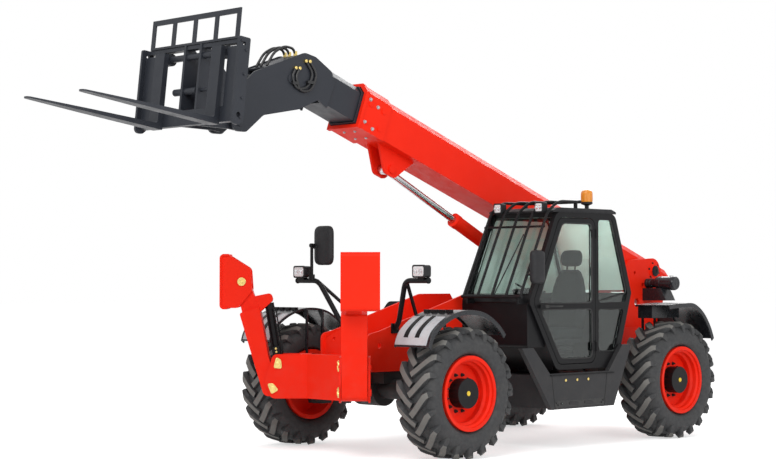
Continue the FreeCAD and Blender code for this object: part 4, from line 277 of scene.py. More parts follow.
class Nodes:
    """A small builder for one material's node tree."""

    def __init__(self, name):
        self.material = bpy.data.materials.new(name)
        self.material.use_nodes = True
        self.tree = self.material.node_tree
        self.shader = self.tree.nodes["Principled BSDF"]
        self.place = self.add("ShaderNodeTexCoord").outputs["Object"]

    def add(self, kind, **settings):
        node = self.tree.nodes.new(kind)
        for key, value in settings.items():
            setattr(node, key, value)
        return node

    def link(self, source, target):
        self.tree.links.new(source, target)

    def noise(self, scale, detail=4.0, rough=0.6):
        node = self.add("ShaderNodeTexNoise")
        node.inputs["Scale"].default_value = scale
        node.inputs["Detail"].default_value = detail
        node.inputs["Roughness"].default_value = rough
        self.link(self.place, node.inputs["Vector"])
        return node.outputs["Fac"]

    def remap(self, value, low, high, out_low, out_high):
        node = self.add("ShaderNodeMapRange")
        for key, number in zip(("From Min", "From Max", "To Min", "To Max"), (low, high, out_low, out_high)):
            node.inputs[key].default_value = number
        self.link(value, node.inputs["Value"])
        return node.outputs["Result"]

    def mix(self, factor, first, second):
        node = self.add("ShaderNodeMix", data_type="RGBA")
        self.link(factor, node.inputs["Factor"])
        for socket, value in ((node.inputs["A"], first), (node.inputs["B"], second)):
            if isinstance(value, tuple):
                socket.default_value = (*value, 1.0)
            else:
                self.link(value, socket)
        return node.outputs["Result"]

    def times(self, first, second):
        node = self.add("ShaderNodeMath", operation="MULTIPLY", use_clamp=True)
        self.link(first, node.inputs[0])
        if isinstance(second, float):
            node.inputs[1].default_value = second
        else:
            self.link(second, node.inputs[1])
        return node.outputs["Value"]

    def height(self):
        split = self.add("ShaderNodeSeparateXYZ")
        self.link(self.place, split.inputs["Vector"])
        return split.outputs["Z"]

    def wave(self, scale, direction, distortion=0.0):
        node = self.add("ShaderNodeTexWave", bands_direction=direction)
        node.inputs["Scale"].default_value = scale
        node.inputs["Distortion"].default_value = distortion
        self.link(self.place, node.inputs["Vector"])
        return node.outputs["Fac"]

    def bump(self, value, distance, strength=1.0, edge=0.0):
        node = self.add("ShaderNodeBump")
        node.inputs["Distance"].default_value = distance
        node.inputs["Strength"].default_value = strength
        self.link(value, node.inputs["Height"])
        if edge:
            bevel = self.add("ShaderNodeBevel", samples=3)
            bevel.inputs["Radius"].default_value = edge
            self.link(bevel.outputs["Normal"], node.inputs["Normal"])
        self.link(node.outputs["Normal"], self.shader.inputs["Normal"])

    def colour(self, factor, first, second):
        """The base colour, between two shades."""
        self.link(self.mix(factor, first, second), self.shader.inputs["Base Color"])

    def roughness(self, value, low, high, out_low, out_high):
        """The roughness, spread over a pattern."""
        self.link(self.remap(value, low, high, out_low, out_high), self.shader.inputs["Roughness"])

    def set(self, **values):
        for key, value in values.items():
            self.shader.inputs[key.replace("_", " ")].default_value = value


def dim(colour, share):
    """A colour with each channel taken down to a share."""
    return tuple(channel * share for channel in colour)


def painted(name, colour, shade, rough=0.42, coat=0.05, dirt=0.12, specular=0.25, relief=0.08):
    """Machine paint: slight unevenness, fine grain, and dust that thins out upwards."""
    n = Nodes(name)
    uneven = n.remap(n.noise(1.3, 5.0), 0.3, 0.7, 0.0, 1.0)
    base = n.mix(uneven, colour, shade)
    low = n.remap(n.height(), 0.1, 1.6, 0.4, 0.03)
    patches = n.remap(n.noise(6.0, 8.0, 0.7), 0.45, 0.75, 0.0, 1.0)
    n.colour(n.times(n.times(low, patches), dirt), base, DUST)
    n.roughness(n.noise(9.0, 6.0), 0.3, 0.7, rough - 0.06, rough + 0.12)
    n.set(Coat_Weight=coat, Coat_Roughness=0.12, Specular_IOR_Level=specular)
    if relief:
        n.bump(n.noise(90.0, 2.0), 0.0002, relief, SOFT_EDGE)
    return n.material


def moulded(name, colour, shade, rough=0.55, grain=380.0, coat=0.0, relief=0.5):
    """Moulded plastic with a fine leathery grain."""
    n = Nodes(name)
    n.colour(n.remap(n.noise(3.0), 0.35, 0.7, 0.0, 1.0), colour, shade)
    n.roughness(n.noise(14.0, 6.0), 0.3, 0.7, rough - 0.1, rough + 0.1)
    n.set(Coat_Weight=coat, Coat_Roughness=0.2, Specular_IOR_Level=0.25)
    n.bump(n.noise(grain, 2.0), 0.0003, relief, SOFT_EDGE)
    return n.material


def rubber(name, colour, dusty, rough=0.62):
    """Rubber, dull, with dust in patches."""
    n = Nodes(name)
    n.colour(n.remap(n.noise(7.0, 8.0, 0.7), 0.42, 0.8, 0.0, 0.6), colour, dusty)
    n.roughness(n.noise(30.0, 5.0), 0.3, 0.7, rough - 0.08, rough + 0.2)
    n.bump(n.noise(160.0, 4.0), 0.0008, 0.6)
    return n.material


def metal(name, colour, rough, streak=40.0, relief=0.15):
    """Bare metal with fine turning marks."""
    n = Nodes(name)
    marks = n.noise(streak, 6.0, 0.7)
    n.colour(n.remap(marks, 0.3, 0.7, 0.0, 1.0), colour, dim(colour, 0.75))
    n.roughness(marks, 0.3, 0.7, max(rough - 0.06, 0.03), rough + 0.1)
    n.set(Metallic=1.0)
    if relief:
        n.bump(n.noise(streak * 8, 2.0), 0.00005, relief, SOFT_EDGE / 2)
    return n.material


def pane(name, tint):
    """Clear cab glass, slightly tinted, with faint smears."""
    n = Nodes(name)
    n.set(Transmission_Weight=1.0, IOR=1.45, Specular_IOR_Level=0.5)
    n.colour(n.remap(n.noise(5.0, 6.0), 0.4, 0.8, 0.0, 1.0), tint, dim(tint, 0.93))
    n.roughness(n.noise(18.0, 6.0), 0.4, 0.8, 0.0, 0.03)
    return n.material


def frosted(name, tint):
    """Pale frosted film that lets light through but no clear view."""
    n = Nodes(name)
    n.set(Transmission_Weight=0.9, IOR=1.45, Specular_IOR_Level=0.2)
    n.colour(n.remap(n.noise(2.0, 4.0), 0.3, 0.7, 0.0, 1.0), tint, dim(tint, 0.96))
    n.roughness(n.noise(30.0, 4.0), 0.4, 0.8, 0.8, 0.95)
    return n.material


def cloth(name, colour, shade):
    """Woven seat cloth."""
    n = Nodes(name)
    weave = n.times(n.wave(190.0, "X"), n.wave(190.0, "Z"))
    n.colour(weave, colour, shade)
    n.set(Roughness=0.9, Specular_IOR_Level=0.15)
    n.bump(weave, 0.0008, 0.6)
    return n.material


def amber(name, colour, shade):
    """Amber lens plastic with moulded rings."""
    n = Nodes(name)
    rings = n.wave(28.0, "Z")
    n.colour(rings, colour, shade)
    n.set(Transmission_Weight=0.2, Roughness=0.18, Coat_Weight=0.3)
    n.bump(rings, 0.002, 0.6)
    return n.material


def lens(name, colour):
    """Lamp glass with moulded ribs over a bright reflector."""
    n = Nodes(name)
    ribs = n.wave(45.0, "Y", 0.4)
    n.colour(ribs, colour, dim(colour, 0.78))
    n.roughness(ribs, 0.0, 1.0, 0.08, 0.2)
    n.set(Coat_Weight=1.0, Coat_Roughness=0.03)
    n.bump(ribs, 0.0015, 0.5)
    return n.material


SOFT_EDGE = 0.004
DUST = (0.32, 0.27, 0.22)
RED = painted("red_paint", (0.93, 0.024, 0.006), (0.87, 0.019, 0.005), 0.45, 0.0, 0.25, 0.12, relief=0.0)
GREY = painted("dark_grey_paint", (0.026, 0.029, 0.037), (0.020, 0.023, 0.030))
BLACK = painted("black_paint", (0.006, 0.006, 0.007), (0.010, 0.010, 0.011), 0.38, dirt=0.04, specular=0.12)
BOX_GREY = painted("box_paint", (0.032, 0.032, 0.034), (0.026, 0.026, 0.028), coat=0.02, specular=0.2)
PLASTIC = moulded("black_plastic", (0.014, 0.014, 0.016), (0.021, 0.021, 0.023))
GLOSSY = moulded("glossy_black_plastic", (0.012, 0.013, 0.016), (0.02, 0.022, 0.026), 0.28, 90.0, 0.25, 0.05)
TREAD = moulded("pale_tread", (0.56, 0.58, 0.60), (0.42, 0.44, 0.47), 0.3, 200.0, 0.4, 0.4)
CAST = moulded("cast_metal", (0.02, 0.02, 0.021), (0.035, 0.033, 0.03), 0.6, 120.0)
YELLOW = moulded("yellow_cap", (0.85, 0.62, 0.06), (0.75, 0.52, 0.04), 0.4)
CHROME = metal("rod_chrome", (0.74, 0.75, 0.77), 0.2, 4.0, 0.0)
ZINC = metal("yellow_zinc", (0.80, 0.62, 0.22), 0.34)
STEEL = metal("plain_steel", (0.52, 0.52, 0.53), 0.35)
MIRROR = metal("mirror_silver", (0.85, 0.86, 0.87), 0.06, 4.0, 0.0)
RUBBER = rubber("tyre_rubber", (0.026, 0.027, 0.029), (0.06, 0.058, 0.055))
WORN = rubber("worn_rubber", (0.15, 0.145, 0.135), (0.21, 0.20, 0.185), 0.7)
# Dark seal rubber; the step slot's sheet of painted shade wears it too.
SEAL_AND_SLOT_SHADE = rubber("seal_rubber_and_slot_shade", (0.008, 0.008, 0.008), (0.016, 0.016, 0.016), 0.4)
HOSE = rubber("hose_rubber", (0.010, 0.010, 0.011), (0.022, 0.022, 0.022), 0.36)
GLASS = pane("cab_panes", (0.76, 0.87, 0.83))
FILM = frosted("sun_film", (0.90, 1.0, 0.96))
CLOTH = cloth("seat_cloth", (0.010, 0.012, 0.014), (0.024, 0.027, 0.030))
SEAM = cloth("seam_cloth", (0.05, 0.05, 0.052), (0.09, 0.09, 0.093))
AMBER = amber("amber_lens", (1.0, 0.42, 0.010), (1.0, 0.28, 0.004))
LENS = lens("lamp_lens", (0.86, 0.87, 0.88))

# Each material with the starts of the names of the solids that wear it
NODE_MATERIALS = (
    (RED, ("chassis", "boom_tower", "boom_outer", "stabiliser_frame", "stabiliser_leg", "stabiliser_pad",
           "rim_", "lift_barrel")),
    (GREY, ("boom_head", "carriage", "forks", "backrest", "boom_inner", "boom_middle")),
    (BOX_GREY, ("side_box", "counterweight")),
    (BLACK, ("cab_frame", "door_frame", "window_guard", "lamp_hoops", "engine_tray",
             "tow_hitch", "knuckle_", "tilt_barrel", "stabiliser_barrel", "engine_hood")),
    (PLASTIC, ("cab_roof", "console", "lamps", "mirror_", "air_cleaner")),
    (CAST, ("axle_", "engine_block")),
    (CHROME, ("lift_rod", "tilt_rod", "stabiliser_rod")),
    (RUBBER, ("tyre_",)),
    (GLASS, ("cab_glass", "door_glass")),
    (CLOTH, ("seat",)),
    (AMBER, ("beacon",)),
)


def dress_nodes():
    """Give each solid of the frame its material."""
    for name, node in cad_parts.items():
        for material, starts in NODE_MATERIALS:
            if name.startswith(starts):
                node.data.materials.clear()
                node.data.materials.append(material)
                break


# Wheels

LUGS = 20
LUG_WIDTH = 0.058
LUG_DEPTH = 0.046
LUG_FLARE = 0.007
LUG_CHAMFER = 0.004
# One lug's middle line: turn round the wheel in degrees, distance from the middle plane,
# radius, share of width
LUG_LINE = (
    (10.4, -0.012, 0.5778, 1.0),
    (6.6, 0.036, 0.5780, 1.0),
    (1.6, 0.090, 0.5778, 1.0),
    (-3.6, 0.140, 0.5762, 1.0),
    (-7.2, 0.170, 0.5680, 1.0),
    (-8.9, 0.190, 0.5480, 0.95),
    (-9.6, 0.201, 0.5200, 0.85),
    (-9.9, 0.2035, 0.4900, 0.7),
    (-10.0, 0.2025, 0.4700, 0.5),
)
WORN_STEPS = 5
# The tyre's section as a rounded square: middle radius, half height, half width, squareness
CARCASS = (0.43, 0.118, 0.203, 2.6)
CARCASS_STEPS = 64
CARCASS_SEGMENTS = 80
BEAD = (0.3085, 0.149)
# Raised bands on the side wall between two radii
BANDS = ((0.372, 0.384), (0.43, 0.436))
BAND_HEIGHT = 0.0022
# (radius, height) outlines of the hub's drum, its cap and a wheel nut's three steps
DRUM = ((0.1295, 0.0405), (0.1295, 0.1500), (0.1320, 0.1510), (0.1320, 0.1585), (0.1300, 0.1600),
        (0.0, 0.1602))
HUB_CAP = ((0.0215, 0.1600), (0.0215, 0.1635), (0.0180, 0.1650), (0.0080, 0.1650), (0.0075, 0.1640),
           (0.0, 0.1640))
NUT = ((16, ((0.017, 0), (0.017, 0.003))),
       (6, ((0.0135, 0.003), (0.0135, 0.016), (0.011, 0.019))),
       (12, ((0.0075, 0.016), (0.0075, 0.030), (0.006, 0.032))))
NUTS = 12
NUT_CIRCLE = 0.163


def carcass_profile():
    """The tyre's section from bead to bead as (radius, distance from the middle plane)."""
    middle, tall, half, power = CARCASS
    points = [(BEAD[0], -BEAD[1])]
    for index in range(CARCASS_STEPS + 1):
        angle = math.radians(-50 + 280 * index / CARCASS_STEPS)
        along, up = math.cos(angle), math.sin(angle)
        radius = middle + tall * math.copysign(abs(up) ** (2 / power), up)
        y = -half * math.copysign(abs(along) ** (2 / power), along)
        proud = BAND_HEIGHT if any(low < radius < high for low, high in BANDS) else 0.0
        points.append((radius, y + math.copysign(proud, y)))
    return points + [BEAD]


def wheel_point(centre, degrees, y, radius):
    """A point at a turn from the wheel's top."""
    angle = math.radians(degrees)
    return Vector(centre) + Vector((radius * math.sin(angle), y, radius * math.cos(angle)))


def add_lug(form, centre, start, row):
    """One chevron bar with its hooked tail down the side wall."""
    places = [wheel_point(centre, start + swing, y * row, radius) for swing, y, radius, _ in LUG_LINE]
    rings = []
    for index, (point, (_, y, _, share)) in enumerate(zip(places, LUG_LINE)):
        ahead = places[min(index + 1, len(places) - 1)] - places[max(index - 1, 0)]
        out = (point - Vector((centre[0], centre[1] + y * row * 0.2, centre[2]))).normalized()
        lean = min(max((abs(y) - 0.15) / 0.055, 0.0), 1.0)
        normal = (out * (1 - lean) + Vector((0, row, 0)) * lean).normalized()
        across = ahead.normalized().cross(normal).normalized()
        half = LUG_WIDTH / 2 * share
        section = ((half + LUG_FLARE, LUG_DEPTH), (half, LUG_CHAMFER), (half - LUG_CHAMFER, 0.0))
        left = [point - across * reach - normal * down for reach, down in section]
        right = [point + across * reach - normal * down for reach, down in section[::-1]]
        rings.append([form.bm.verts.new(corner) for corner in left + right])
    for step, (low, high) in enumerate(zip(rings, rings[1:])):
        for index in range(len(low)):
            after = (index + 1) % len(low)
            face = form.bm.faces.new((low[index], low[after], high[after], high[index]))
            face.material_index = 1 if index == 2 and step < WORN_STEPS else 0
    form.cap(rings[0][::-1])
    form.cap(rings[-1])


def add_wheel(name, along, side):
    """A tyre with its tread, the hub's drum with its cap, and the wheel nuts."""
    centre = (HALF_WHEELBASE * along - ORIGIN_SHIFT, HALF_TRACK * side, TYRE_RADIUS)
    tyre = Form()
    tyre.lathe(carcass_profile(), Matrix.Translation(centre) @ turn(-90, "X"), CARCASS_SEGMENTS, 0, False)
    pitch = 360 / LUGS
    lowest = 180.0 - LUG_LINE[0][0]
    for index in range(LUGS):
        add_lug(tyre, centre, lowest + pitch * index, 1)
        add_lug(tyre, centre, lowest + pitch * (index + 0.5), -1)
    tyre.piece("tread_" + name, "wheel_" + name, [RUBBER, WORN], replaces=("tyre_" + name,))

    outward = Matrix.Translation(centre) @ turn(-90 * side, "X")
    hub = Form()
    hub.lathe(DRUM, outward, 64)
    hub.lathe(HUB_CAP, outward, 32, 1)
    for index in range(NUTS):
        nut = outward @ turn(360 / NUTS * (index + 0.5), "Z") @ shift(NUT_CIRCLE, 0, 0.040)
        for segments, profile in NUT:
            hub.lathe(profile, nut, segments, 2)
    hub.piece("hub_" + name, "wheel_" + name, [BLACK, YELLOW, CAST], 0.0008)


# Knuckles and fenders

FENDER_RADIUS = 0.708
FENDER_SPAN = (0.020, 0.440)
FENDER_SKIN = 0.008
# A fender's bends as (degrees from the top, rise over its circle), by end of the machine
FENDER_LINES = {
    1: ((-41, -0.046), (-30, -0.022), (-15, 0.004), (0, 0.014), (15, 0.022), (28, 0.024), (40, 0.022),
        (47, 0.006), (53, -0.022)),
    -1: ((-52, -0.06), (-44, -0.03), (-36, 0.0), (-28, 0.03), (-20, 0.052), (-12, 0.062), (-2, 0.045),
         (8, 0.048), (18, 0.068)),
}
# Stretches of the smoothed line that the pale plate and its grooves cover
PLATE_STRETCH = slice(19, 32)
GROOVE_STRETCH = slice(19, 29)
# (radius, height) outlines about the kingpin and about the wheel's axle
KINGPIN_HOUSING = ((0.050, -0.146), (0.066, -0.146), (0.074, -0.138), (0.074, -0.05), (0.082, -0.04),
                   (0.082, 0.04), (0.074, 0.05), (0.074, 0.138), (0.066, 0.146), (0.050, 0.146))
KINGPIN_END = ((0.026, 0.140), (0.026, 0.178), (0.022, 0.180))
SPINDLE_FLANGE = ((0.104, 0.03), (0.112, 0.04), (0.112, 0.245), (0.106, 0.2535))


def fender_path(along, lift):
    """A fender's line in the wheel's plane at a lift over its underside."""
    path = []
    for degrees, rise in FENDER_LINES[along]:
        angle = math.radians(degrees)
        radius = FENDER_RADIUS + rise + lift
        path.append((radius * math.sin(angle), radius * math.cos(angle)))
    return path


def sweep(form, path_low, path_high, y, place, material=0):
    """A bent strip between two lines in the wheel's plane, over a span across it."""
    outline = path_low + path_high[::-1]
    rings = [form.ring([(x, across, z) for x, z in outline], place) for across in y]
    form.join(rings[0], rings[1], material)
    total = len(outline)
    for ring in rings:
        for index in range(len(path_low) - 1):
            across = (ring[total - 2 - index], ring[total - 1 - index])
            form.cap((ring[index], ring[index + 1], *across), material)


def add_tread_plate(form, along, side, place):
    """The pale step plate on a front fender, with two dark grooves and a ribbed top edge."""
    low, high, groove = (smooth_path(fender_path(along, lift)) for lift in (0.007, 0.015, 0.021))
    sweep(form, low[PLATE_STRETCH], high[PLATE_STRETCH], span(0.030, 0.408, side), place, 1)
    for start in (0.120, 0.255):
        for edge, width, material in ((0.0, 0.052, 2), (-0.008, 0.006, 1), (0.054, 0.006, 1)):
            y = span(start + edge, start + edge + width, side)
            sweep(form, high[GROOVE_STRETCH], groove[GROOVE_STRETCH], y, place, material)
    x, z = fender_path(along, 0.018)[4]
    for index in range(4):
        start = 0.048 + 0.090 * index
        across = span(start, start + 0.055, side)
        form.block((x - 0.020, x + 0.020), across, (z - 0.016, z + 0.012), place, 2)


def add_knuckle(name, along, side):
    """The steering knuckle with its pins and arms, and the fender it carries."""
    knuckle = Form()
    place = at(HALF_WHEELBASE * along, (HALF_TRACK - KINGPIN_OFFSET) * side, TYRE_RADIUS)
    knuckle.lathe(KINGPIN_HOUSING, place, 40)
    for end in (-1, 1):
        knuckle.lathe(KINGPIN_END, place @ toward((0, 0, end)), 24)
    knuckle.lathe(SPINDLE_FLANGE, place @ turn(-90 * side, "X"), 48)
    near, far = FENDER_SPAN
    low, high = (smooth_path(fender_path(along, lift)) for lift in (0.0, FENDER_SKIN))
    sweep(knuckle, low, high, span(near, far, side), place)
    for start, end, depth in ((far - 0.014, far, 0.034), (near, near + 0.008, 0.014)):
        sweep(knuckle, smooth_path(fender_path(along, -depth)), low, span(start, end, side), place)
    for x in (-0.100, 0.100):
        top = min(low, key=lambda point: abs(point[0] - x))[1] - 0.002
        outline = [(-0.005, -0.04), (0.02, -0.04), (0.02, top - 0.088), (0.07, top), (-0.005, top)]
        faces = (x - 0.008, x + 0.008)
        knuckle.loft([[(across, y * side, z) for y, z in outline] for across in faces], place)
    knuckle.tube([(-0.108, 0, 0), (0.108, 0, 0)], 0.036, place, 20)
    if along > 0:
        add_tread_plate(knuckle, along, side, place)
    else:
        knuckle.block((-0.250, 0.200), span(0.024, 0.200, side), (0.612, 0.742), place)
    knuckle.piece("steering_knuckle_" + name, "knuckle_" + name, [GLOSSY, TREAD, BLACK],
                  0.002, ("knuckle_" + name,))


# Cab

FRAME_BAR = 0.048
DOOR_GAP = 0.006
DOOR_POST = -0.270
SEAL_RADIUS = 0.007
PANE_CORNER = 0.05
GRIP_HEIGHT = 1.330
WIPER_FOOT = Vector((0.700, 0.72, 1.425))
WIPER_TIP = Vector((0.432, 0.86, 2.000))
WIPER_HUB = ((0.018, -0.012), (0.018, 0.022), (0.012, 0.028))
# The rear film: its near side, far side, foot and head as (x, z), and its thickness
REAR_FILM = (0.362, 1.110, (-0.785, 1.475), (-0.560, 2.135), 0.002)


def cab_line(inset):
    """The cab's side outline in (x, z), drawn in by an amount."""
    slope = inset * 1.15
    foot, head = 0.740 + inset, 2.205 - inset
    return [(-0.590 + slope, foot), (0.310 - slope * 0.6, foot), (0.690 - slope, 1.370),
            (0.300 - slope * 0.7, head), (-0.570 + slope * 0.7, head), (-0.820 + slope, 1.450)]


def add_seals(name, body, outlines, y):
    """Rubber seals along the edges of panes in the cab's side."""
    seal = Form()
    for outline in outlines:
        path = [(x, y, z) for x, z in rounded(outline, PANE_CORNER)]
        seal.tube(path, SEAL_RADIUS, segments=8, closed=True)
    seal.piece(name, body, [SEAL_AND_SLOT_SHADE])


def add_cab_seals():
    """Seals of the rear side panes and of the door's two panes."""
    inside = cab_line(0.055)
    upper = [(-0.315, 1.365), (-0.315, inside[4][1]), inside[4], inside[5]]
    lower = [(-0.315, 0.895), (-0.315, 1.295), (-0.748, 1.295), (-0.592, 0.895)]
    add_seals("cab_seals", "chassis", (upper, lower), CAB_OUTER - 0.012)

    door = cab_line(FRAME_BAR + DOOR_GAP + FRAME_BAR)
    hinge = DOOR_POST + DOOR_GAP + FRAME_BAR
    high = [(hinge, 1.360), (door[2][0] - 0.010, 1.360), door[3], (hinge, door[3][1])]
    low_x = door[1][0] + (door[2][0] - door[1][0]) * (1.300 - door[1][1]) / (door[2][1] - door[1][1])
    low = [(hinge, door[0][1]), door[1], (low_x, 1.300), (hinge, 1.300)]
    add_seals("door_seals", "door", (high, low), CAB_OUTER - 0.004)


def add_cab_fittings():
    """The door's grip, the wiper and the pale film behind two panes."""
    grip = Form()
    near, far = CAB_OUTER + 0.001, CAB_OUTER + 0.030
    bow = [(x, y, GRIP_HEIGHT) for x, y in ((0.25, near), (0.25, far), (0.44, far), (0.44, near))]
    grip.tube(rounded(bow, 0.02, 4, False), 0.007)
    grip.loft([[(x, CAB_OUTER + out, z) for x, z in panel(half_x, half_z, 0.01)]
               for out, half_x, half_z in ((0.026, 0.030, 0.014), (0.034, 0.027, 0.011))], at(0.47, 0, 1.329))
    grip.piece("door_grip", "door", [SEAL_AND_SLOT_SHADE])

    wiper = Form()
    along = (WIPER_TIP - WIPER_FOOT).normalized()
    wiper.tube([WIPER_FOOT, WIPER_TIP - along * 0.10], 0.006, segments=8)
    wiper.tube([WIPER_TIP - along * 0.52, WIPER_TIP], 0.005, segments=8)
    wiper.lathe(WIPER_HUB, at(*WIPER_FOOT) @ toward((0.91, 0, 0.42)), 20)
    wiper.piece("wiper", "chassis", [PLASTIC])

    film = Form()
    side = cab_line(0.062)
    film.wall(rounded([(side[5][0] + 0.010, 1.452), (side[2][0] - 0.030, 1.412), side[3], side[4]], 0.040),
              (0.3425, 0.3440))
    near, far, foot, head, thick = REAR_FILM
    corners = ((foot, near), (foot, far), (head, far), (head, near))
    film.loft([[(x + back, y, z) for (x, z), y in corners] for back in (0.0, thick)], HERE)
    film.piece("sun_film", "chassis", [FILM])


def add_box_fittings():
    """Dots, the step slot as a dark sheet of painted shade with its seams, tabs and bolts, and the top edge
    of the box below the cab.
    """
    dots = Form()
    for x in (0.235, 0.070, -0.093):
        place = at(x, BOX_SIDE + 0.0003, 0.645) @ turn(-90, "X")
        dots.lathe([(0.013, 0), (0.013, 0.003), (0.009, 0.005)], place, 20)
    dots.piece("side_dots", "chassis", [ZINC])

    # The step slot is a thin dark sheet on the box face: painted shade for the dark inside of the slot. The
    # two lines beside it are real seams.
    step = Form()
    slot = rounded([(-0.330, 0.400), (0.390, 0.400), (0.395, 0.458), (-0.335, 0.458)], 0.018)
    step.wall(slot, (BOX_SIDE + 0.0002, BOX_SIDE + 0.0025))
    for x, lean in ((-0.375, -0.040), (0.432, 0.045)):
        step.tube([(x - lean, BOX_SIDE + 0.0005, 0.388), (x, BOX_SIDE + 0.0005, 0.690)], 0.0035, segments=6)
    step.piece("step_slot_shade_and_seams", "chassis", [SEAL_AND_SLOT_SHADE])

    tabs = Form()
    for x, z in ((-0.315, 0.440), (-0.290, 0.420), (0.345, 0.420), (0.370, 0.440), (0.300, 0.432)):
        tabs.bolt(at(x, BOX_SIDE + 0.0020, z) @ turn(-90, "X"), 0.009)
    tab = rounded([(-0.07, 0.412), (0.07, 0.418), (0.06, 0.446), (-0.06, 0.440)], 0.01)
    for x in (-0.10, 0.12):
        tabs.wall(tab, (BOX_SIDE + 0.0022, BOX_SIDE + 0.0060), at(x, 0, 0))
    tabs.piece("step_fittings", "chassis", [BOX_GREY], 0.0008)

    edge = Form()
    edge.wall([(-0.478, 0.70), (0.462, 0.70), (0.455, 0.690), (-0.472, 0.690)], (BOX_SIDE, BOX_SIDE + 0.012))
    edge.piece("box_edge", "chassis", [BLACK], 0.001)


# The window guard's bends as (x, z), from the foot over the brow to the tail on the roof
GUARD_FOOT = (0.785, 1.420)
GUARD_BROW = (0.395, 2.210)
GUARD_TAIL = (-0.060, 2.309)
GUARD_TUBES = 5
GUARD_RADIUS = 0.0135
GUARD_STUB_HEIGHT = 1.620
GUARD_STUB_END = 1.1797
SCREEN_FOOT = 0.6903


def guard_front(share):
    """A point (x, z) up the guard's sloping front."""
    return tuple(low + (high - low) * share for low, high in zip(GUARD_FOOT, GUARD_BROW))


def add_guard():
    """The window guard's upright tubes, which bend back over the roof, with their bars, feet and posts."""
    guard = Form()
    outer, inner = CAB_OUTER - 0.030, CAB_INNER + 0.110
    tail, roof = GUARD_TAIL
    line = (GUARD_FOOT, GUARD_BROW, (GUARD_BROW[0] - 0.160, roof), GUARD_TAIL)
    for index in range(GUARD_TUBES):
        y = inner + (outer - inner) / (GUARD_TUBES - 1) * index
        guard.tube(rounded([(x, y, z) for x, z in line], 0.07, 6, False), GUARD_RADIUS, segments=12)
    for (x, z), thick in ((GUARD_FOOT, 0.0155), (GUARD_TAIL, 0.0155), (guard_front(0.82), 0.0110)):
        guard.tube([(x, y, z) for y in (inner - 0.020, inner, outer, outer + 0.020)], thick, segments=14)
    foot, level = GUARD_FOOT
    for y in (inner + 0.040, outer - 0.040):
        guard.block((SCREEN_FOOT, foot), (y - 0.012, y + 0.012), (level - 0.066, level + 0.008))
        guard.block((tail - 0.015, tail + 0.015), (y - 0.012, y + 0.012), (ROOF_TOP, roof))
        guard.bolt(at(foot - 0.030, y + 0.012, level - 0.045) @ toward((0, 1, 0)), 0.008)
    stub = guard_front((GUARD_STUB_HEIGHT - level) / (GUARD_BROW[1] - level))[0]
    guard.tube([(stub, y, GUARD_STUB_HEIGHT) for y in (outer, GUARD_STUB_END)], 0.011, segments=12)
    guard.piece("guard_tubes", "chassis", [BLACK], 0.001, replaces=("window_guard",))


# Lamps, mirrors and beacon

# A lamp's layers as (growth across, growth upwards, share of the corner, height)
BEZEL = ((0.003, 0.003, 1.0, -0.012), (0.003, 0.003, 1.0, 0.004), (-0.004, -0.004, 1.0, 0.010),
         (-0.010, -0.010, 0.8, 0.004))
LENS_LAYERS = ((-0.010, -0.010, 0.8, 0.002), (-0.012, -0.012, 0.8, 0.008), (-0.028, -0.024, 0.6, 0.011))
# A reflector cup as (share of the lamp's half height, height)
CUP = ((0.42, 0), (0.42, 0.003), (0.34, 0.0045), (0.28, 0.003), (0.12, 0.002), (0.10, 0.006), (0, 0.008))
HEADLAMP = (1.765, 0.79, 1.65)
ROOF_LAMPS = (0.3913, (CAB_INNER + 0.190, CAB_OUTER - 0.138), 2.249)
HOOP_X = 1.715
HOOP_LEVEL = 1.5677
HOOP_FOOT = 1.135
CLAMP = 0.016
MIRROR_ARM = (1.729, -0.652)
MIRROR_LEVEL = 1.898
# A mirror shell as (share of its depth, inset)
SHELL = ((0.0, 0.004), (0.10, 0.0), (0.45, 0.0), (0.70, 0.005), (0.88, 0.018), (0.97, 0.040), (1.0, 0.062))
SHELL_DEPTH = 0.060
BEACON_FOOT = ((0.047, 0), (0.047, 0.012), (0.020, 0.020), (0.020, 0.045), (0.046, 0.056), (0.056, 0.060),
               (0.056, 0.078), (0.052, 0.082))
BEACON_DOME = ((0.052, 0.078), (0.0555, 0.082), (0.0555, 0.162), (0.052, 0.180), (0.042, 0.192),
               (0.024, 0.1985), (0.0, 0.2000))
BEACON_RIBS = 20


def add_lamp(form, place, half_y, half_z, corner):
    """A lamp's bezel, lens and two reflector cups."""
    face = place @ turn(90, "Y") @ turn(90, "Z")
    for material, rows in enumerate((BEZEL, LENS_LAYERS)):
        form.loft([layer(panel(half_y + wider, half_z + taller, corner * share), height)
                   for wider, taller, share, height in rows], face, material)
    for step in (-1, 1):
        cup = face @ shift(step * half_y * 0.42, 0, 0.009)
        form.lathe([(half_z * share, height) for share, height in CUP], cup, 20, 2)


def add_lamps():
    """Two headlamps on their hoops and two lamps on the roof's brow."""
    lamps = Form()
    x, y, z = HEADLAMP
    for side in (-1, 1):
        add_lamp(lamps, at(x, y * side, z), 0.075, 0.055, 0.024)
    x, places, z = ROOF_LAMPS
    for y in places:
        add_lamp(lamps, at(x, y, z), 0.048, 0.048, 0.018)
    lamps.piece("lamp_faces", "chassis", [PLASTIC, LENS, CHROME], 0.0006)


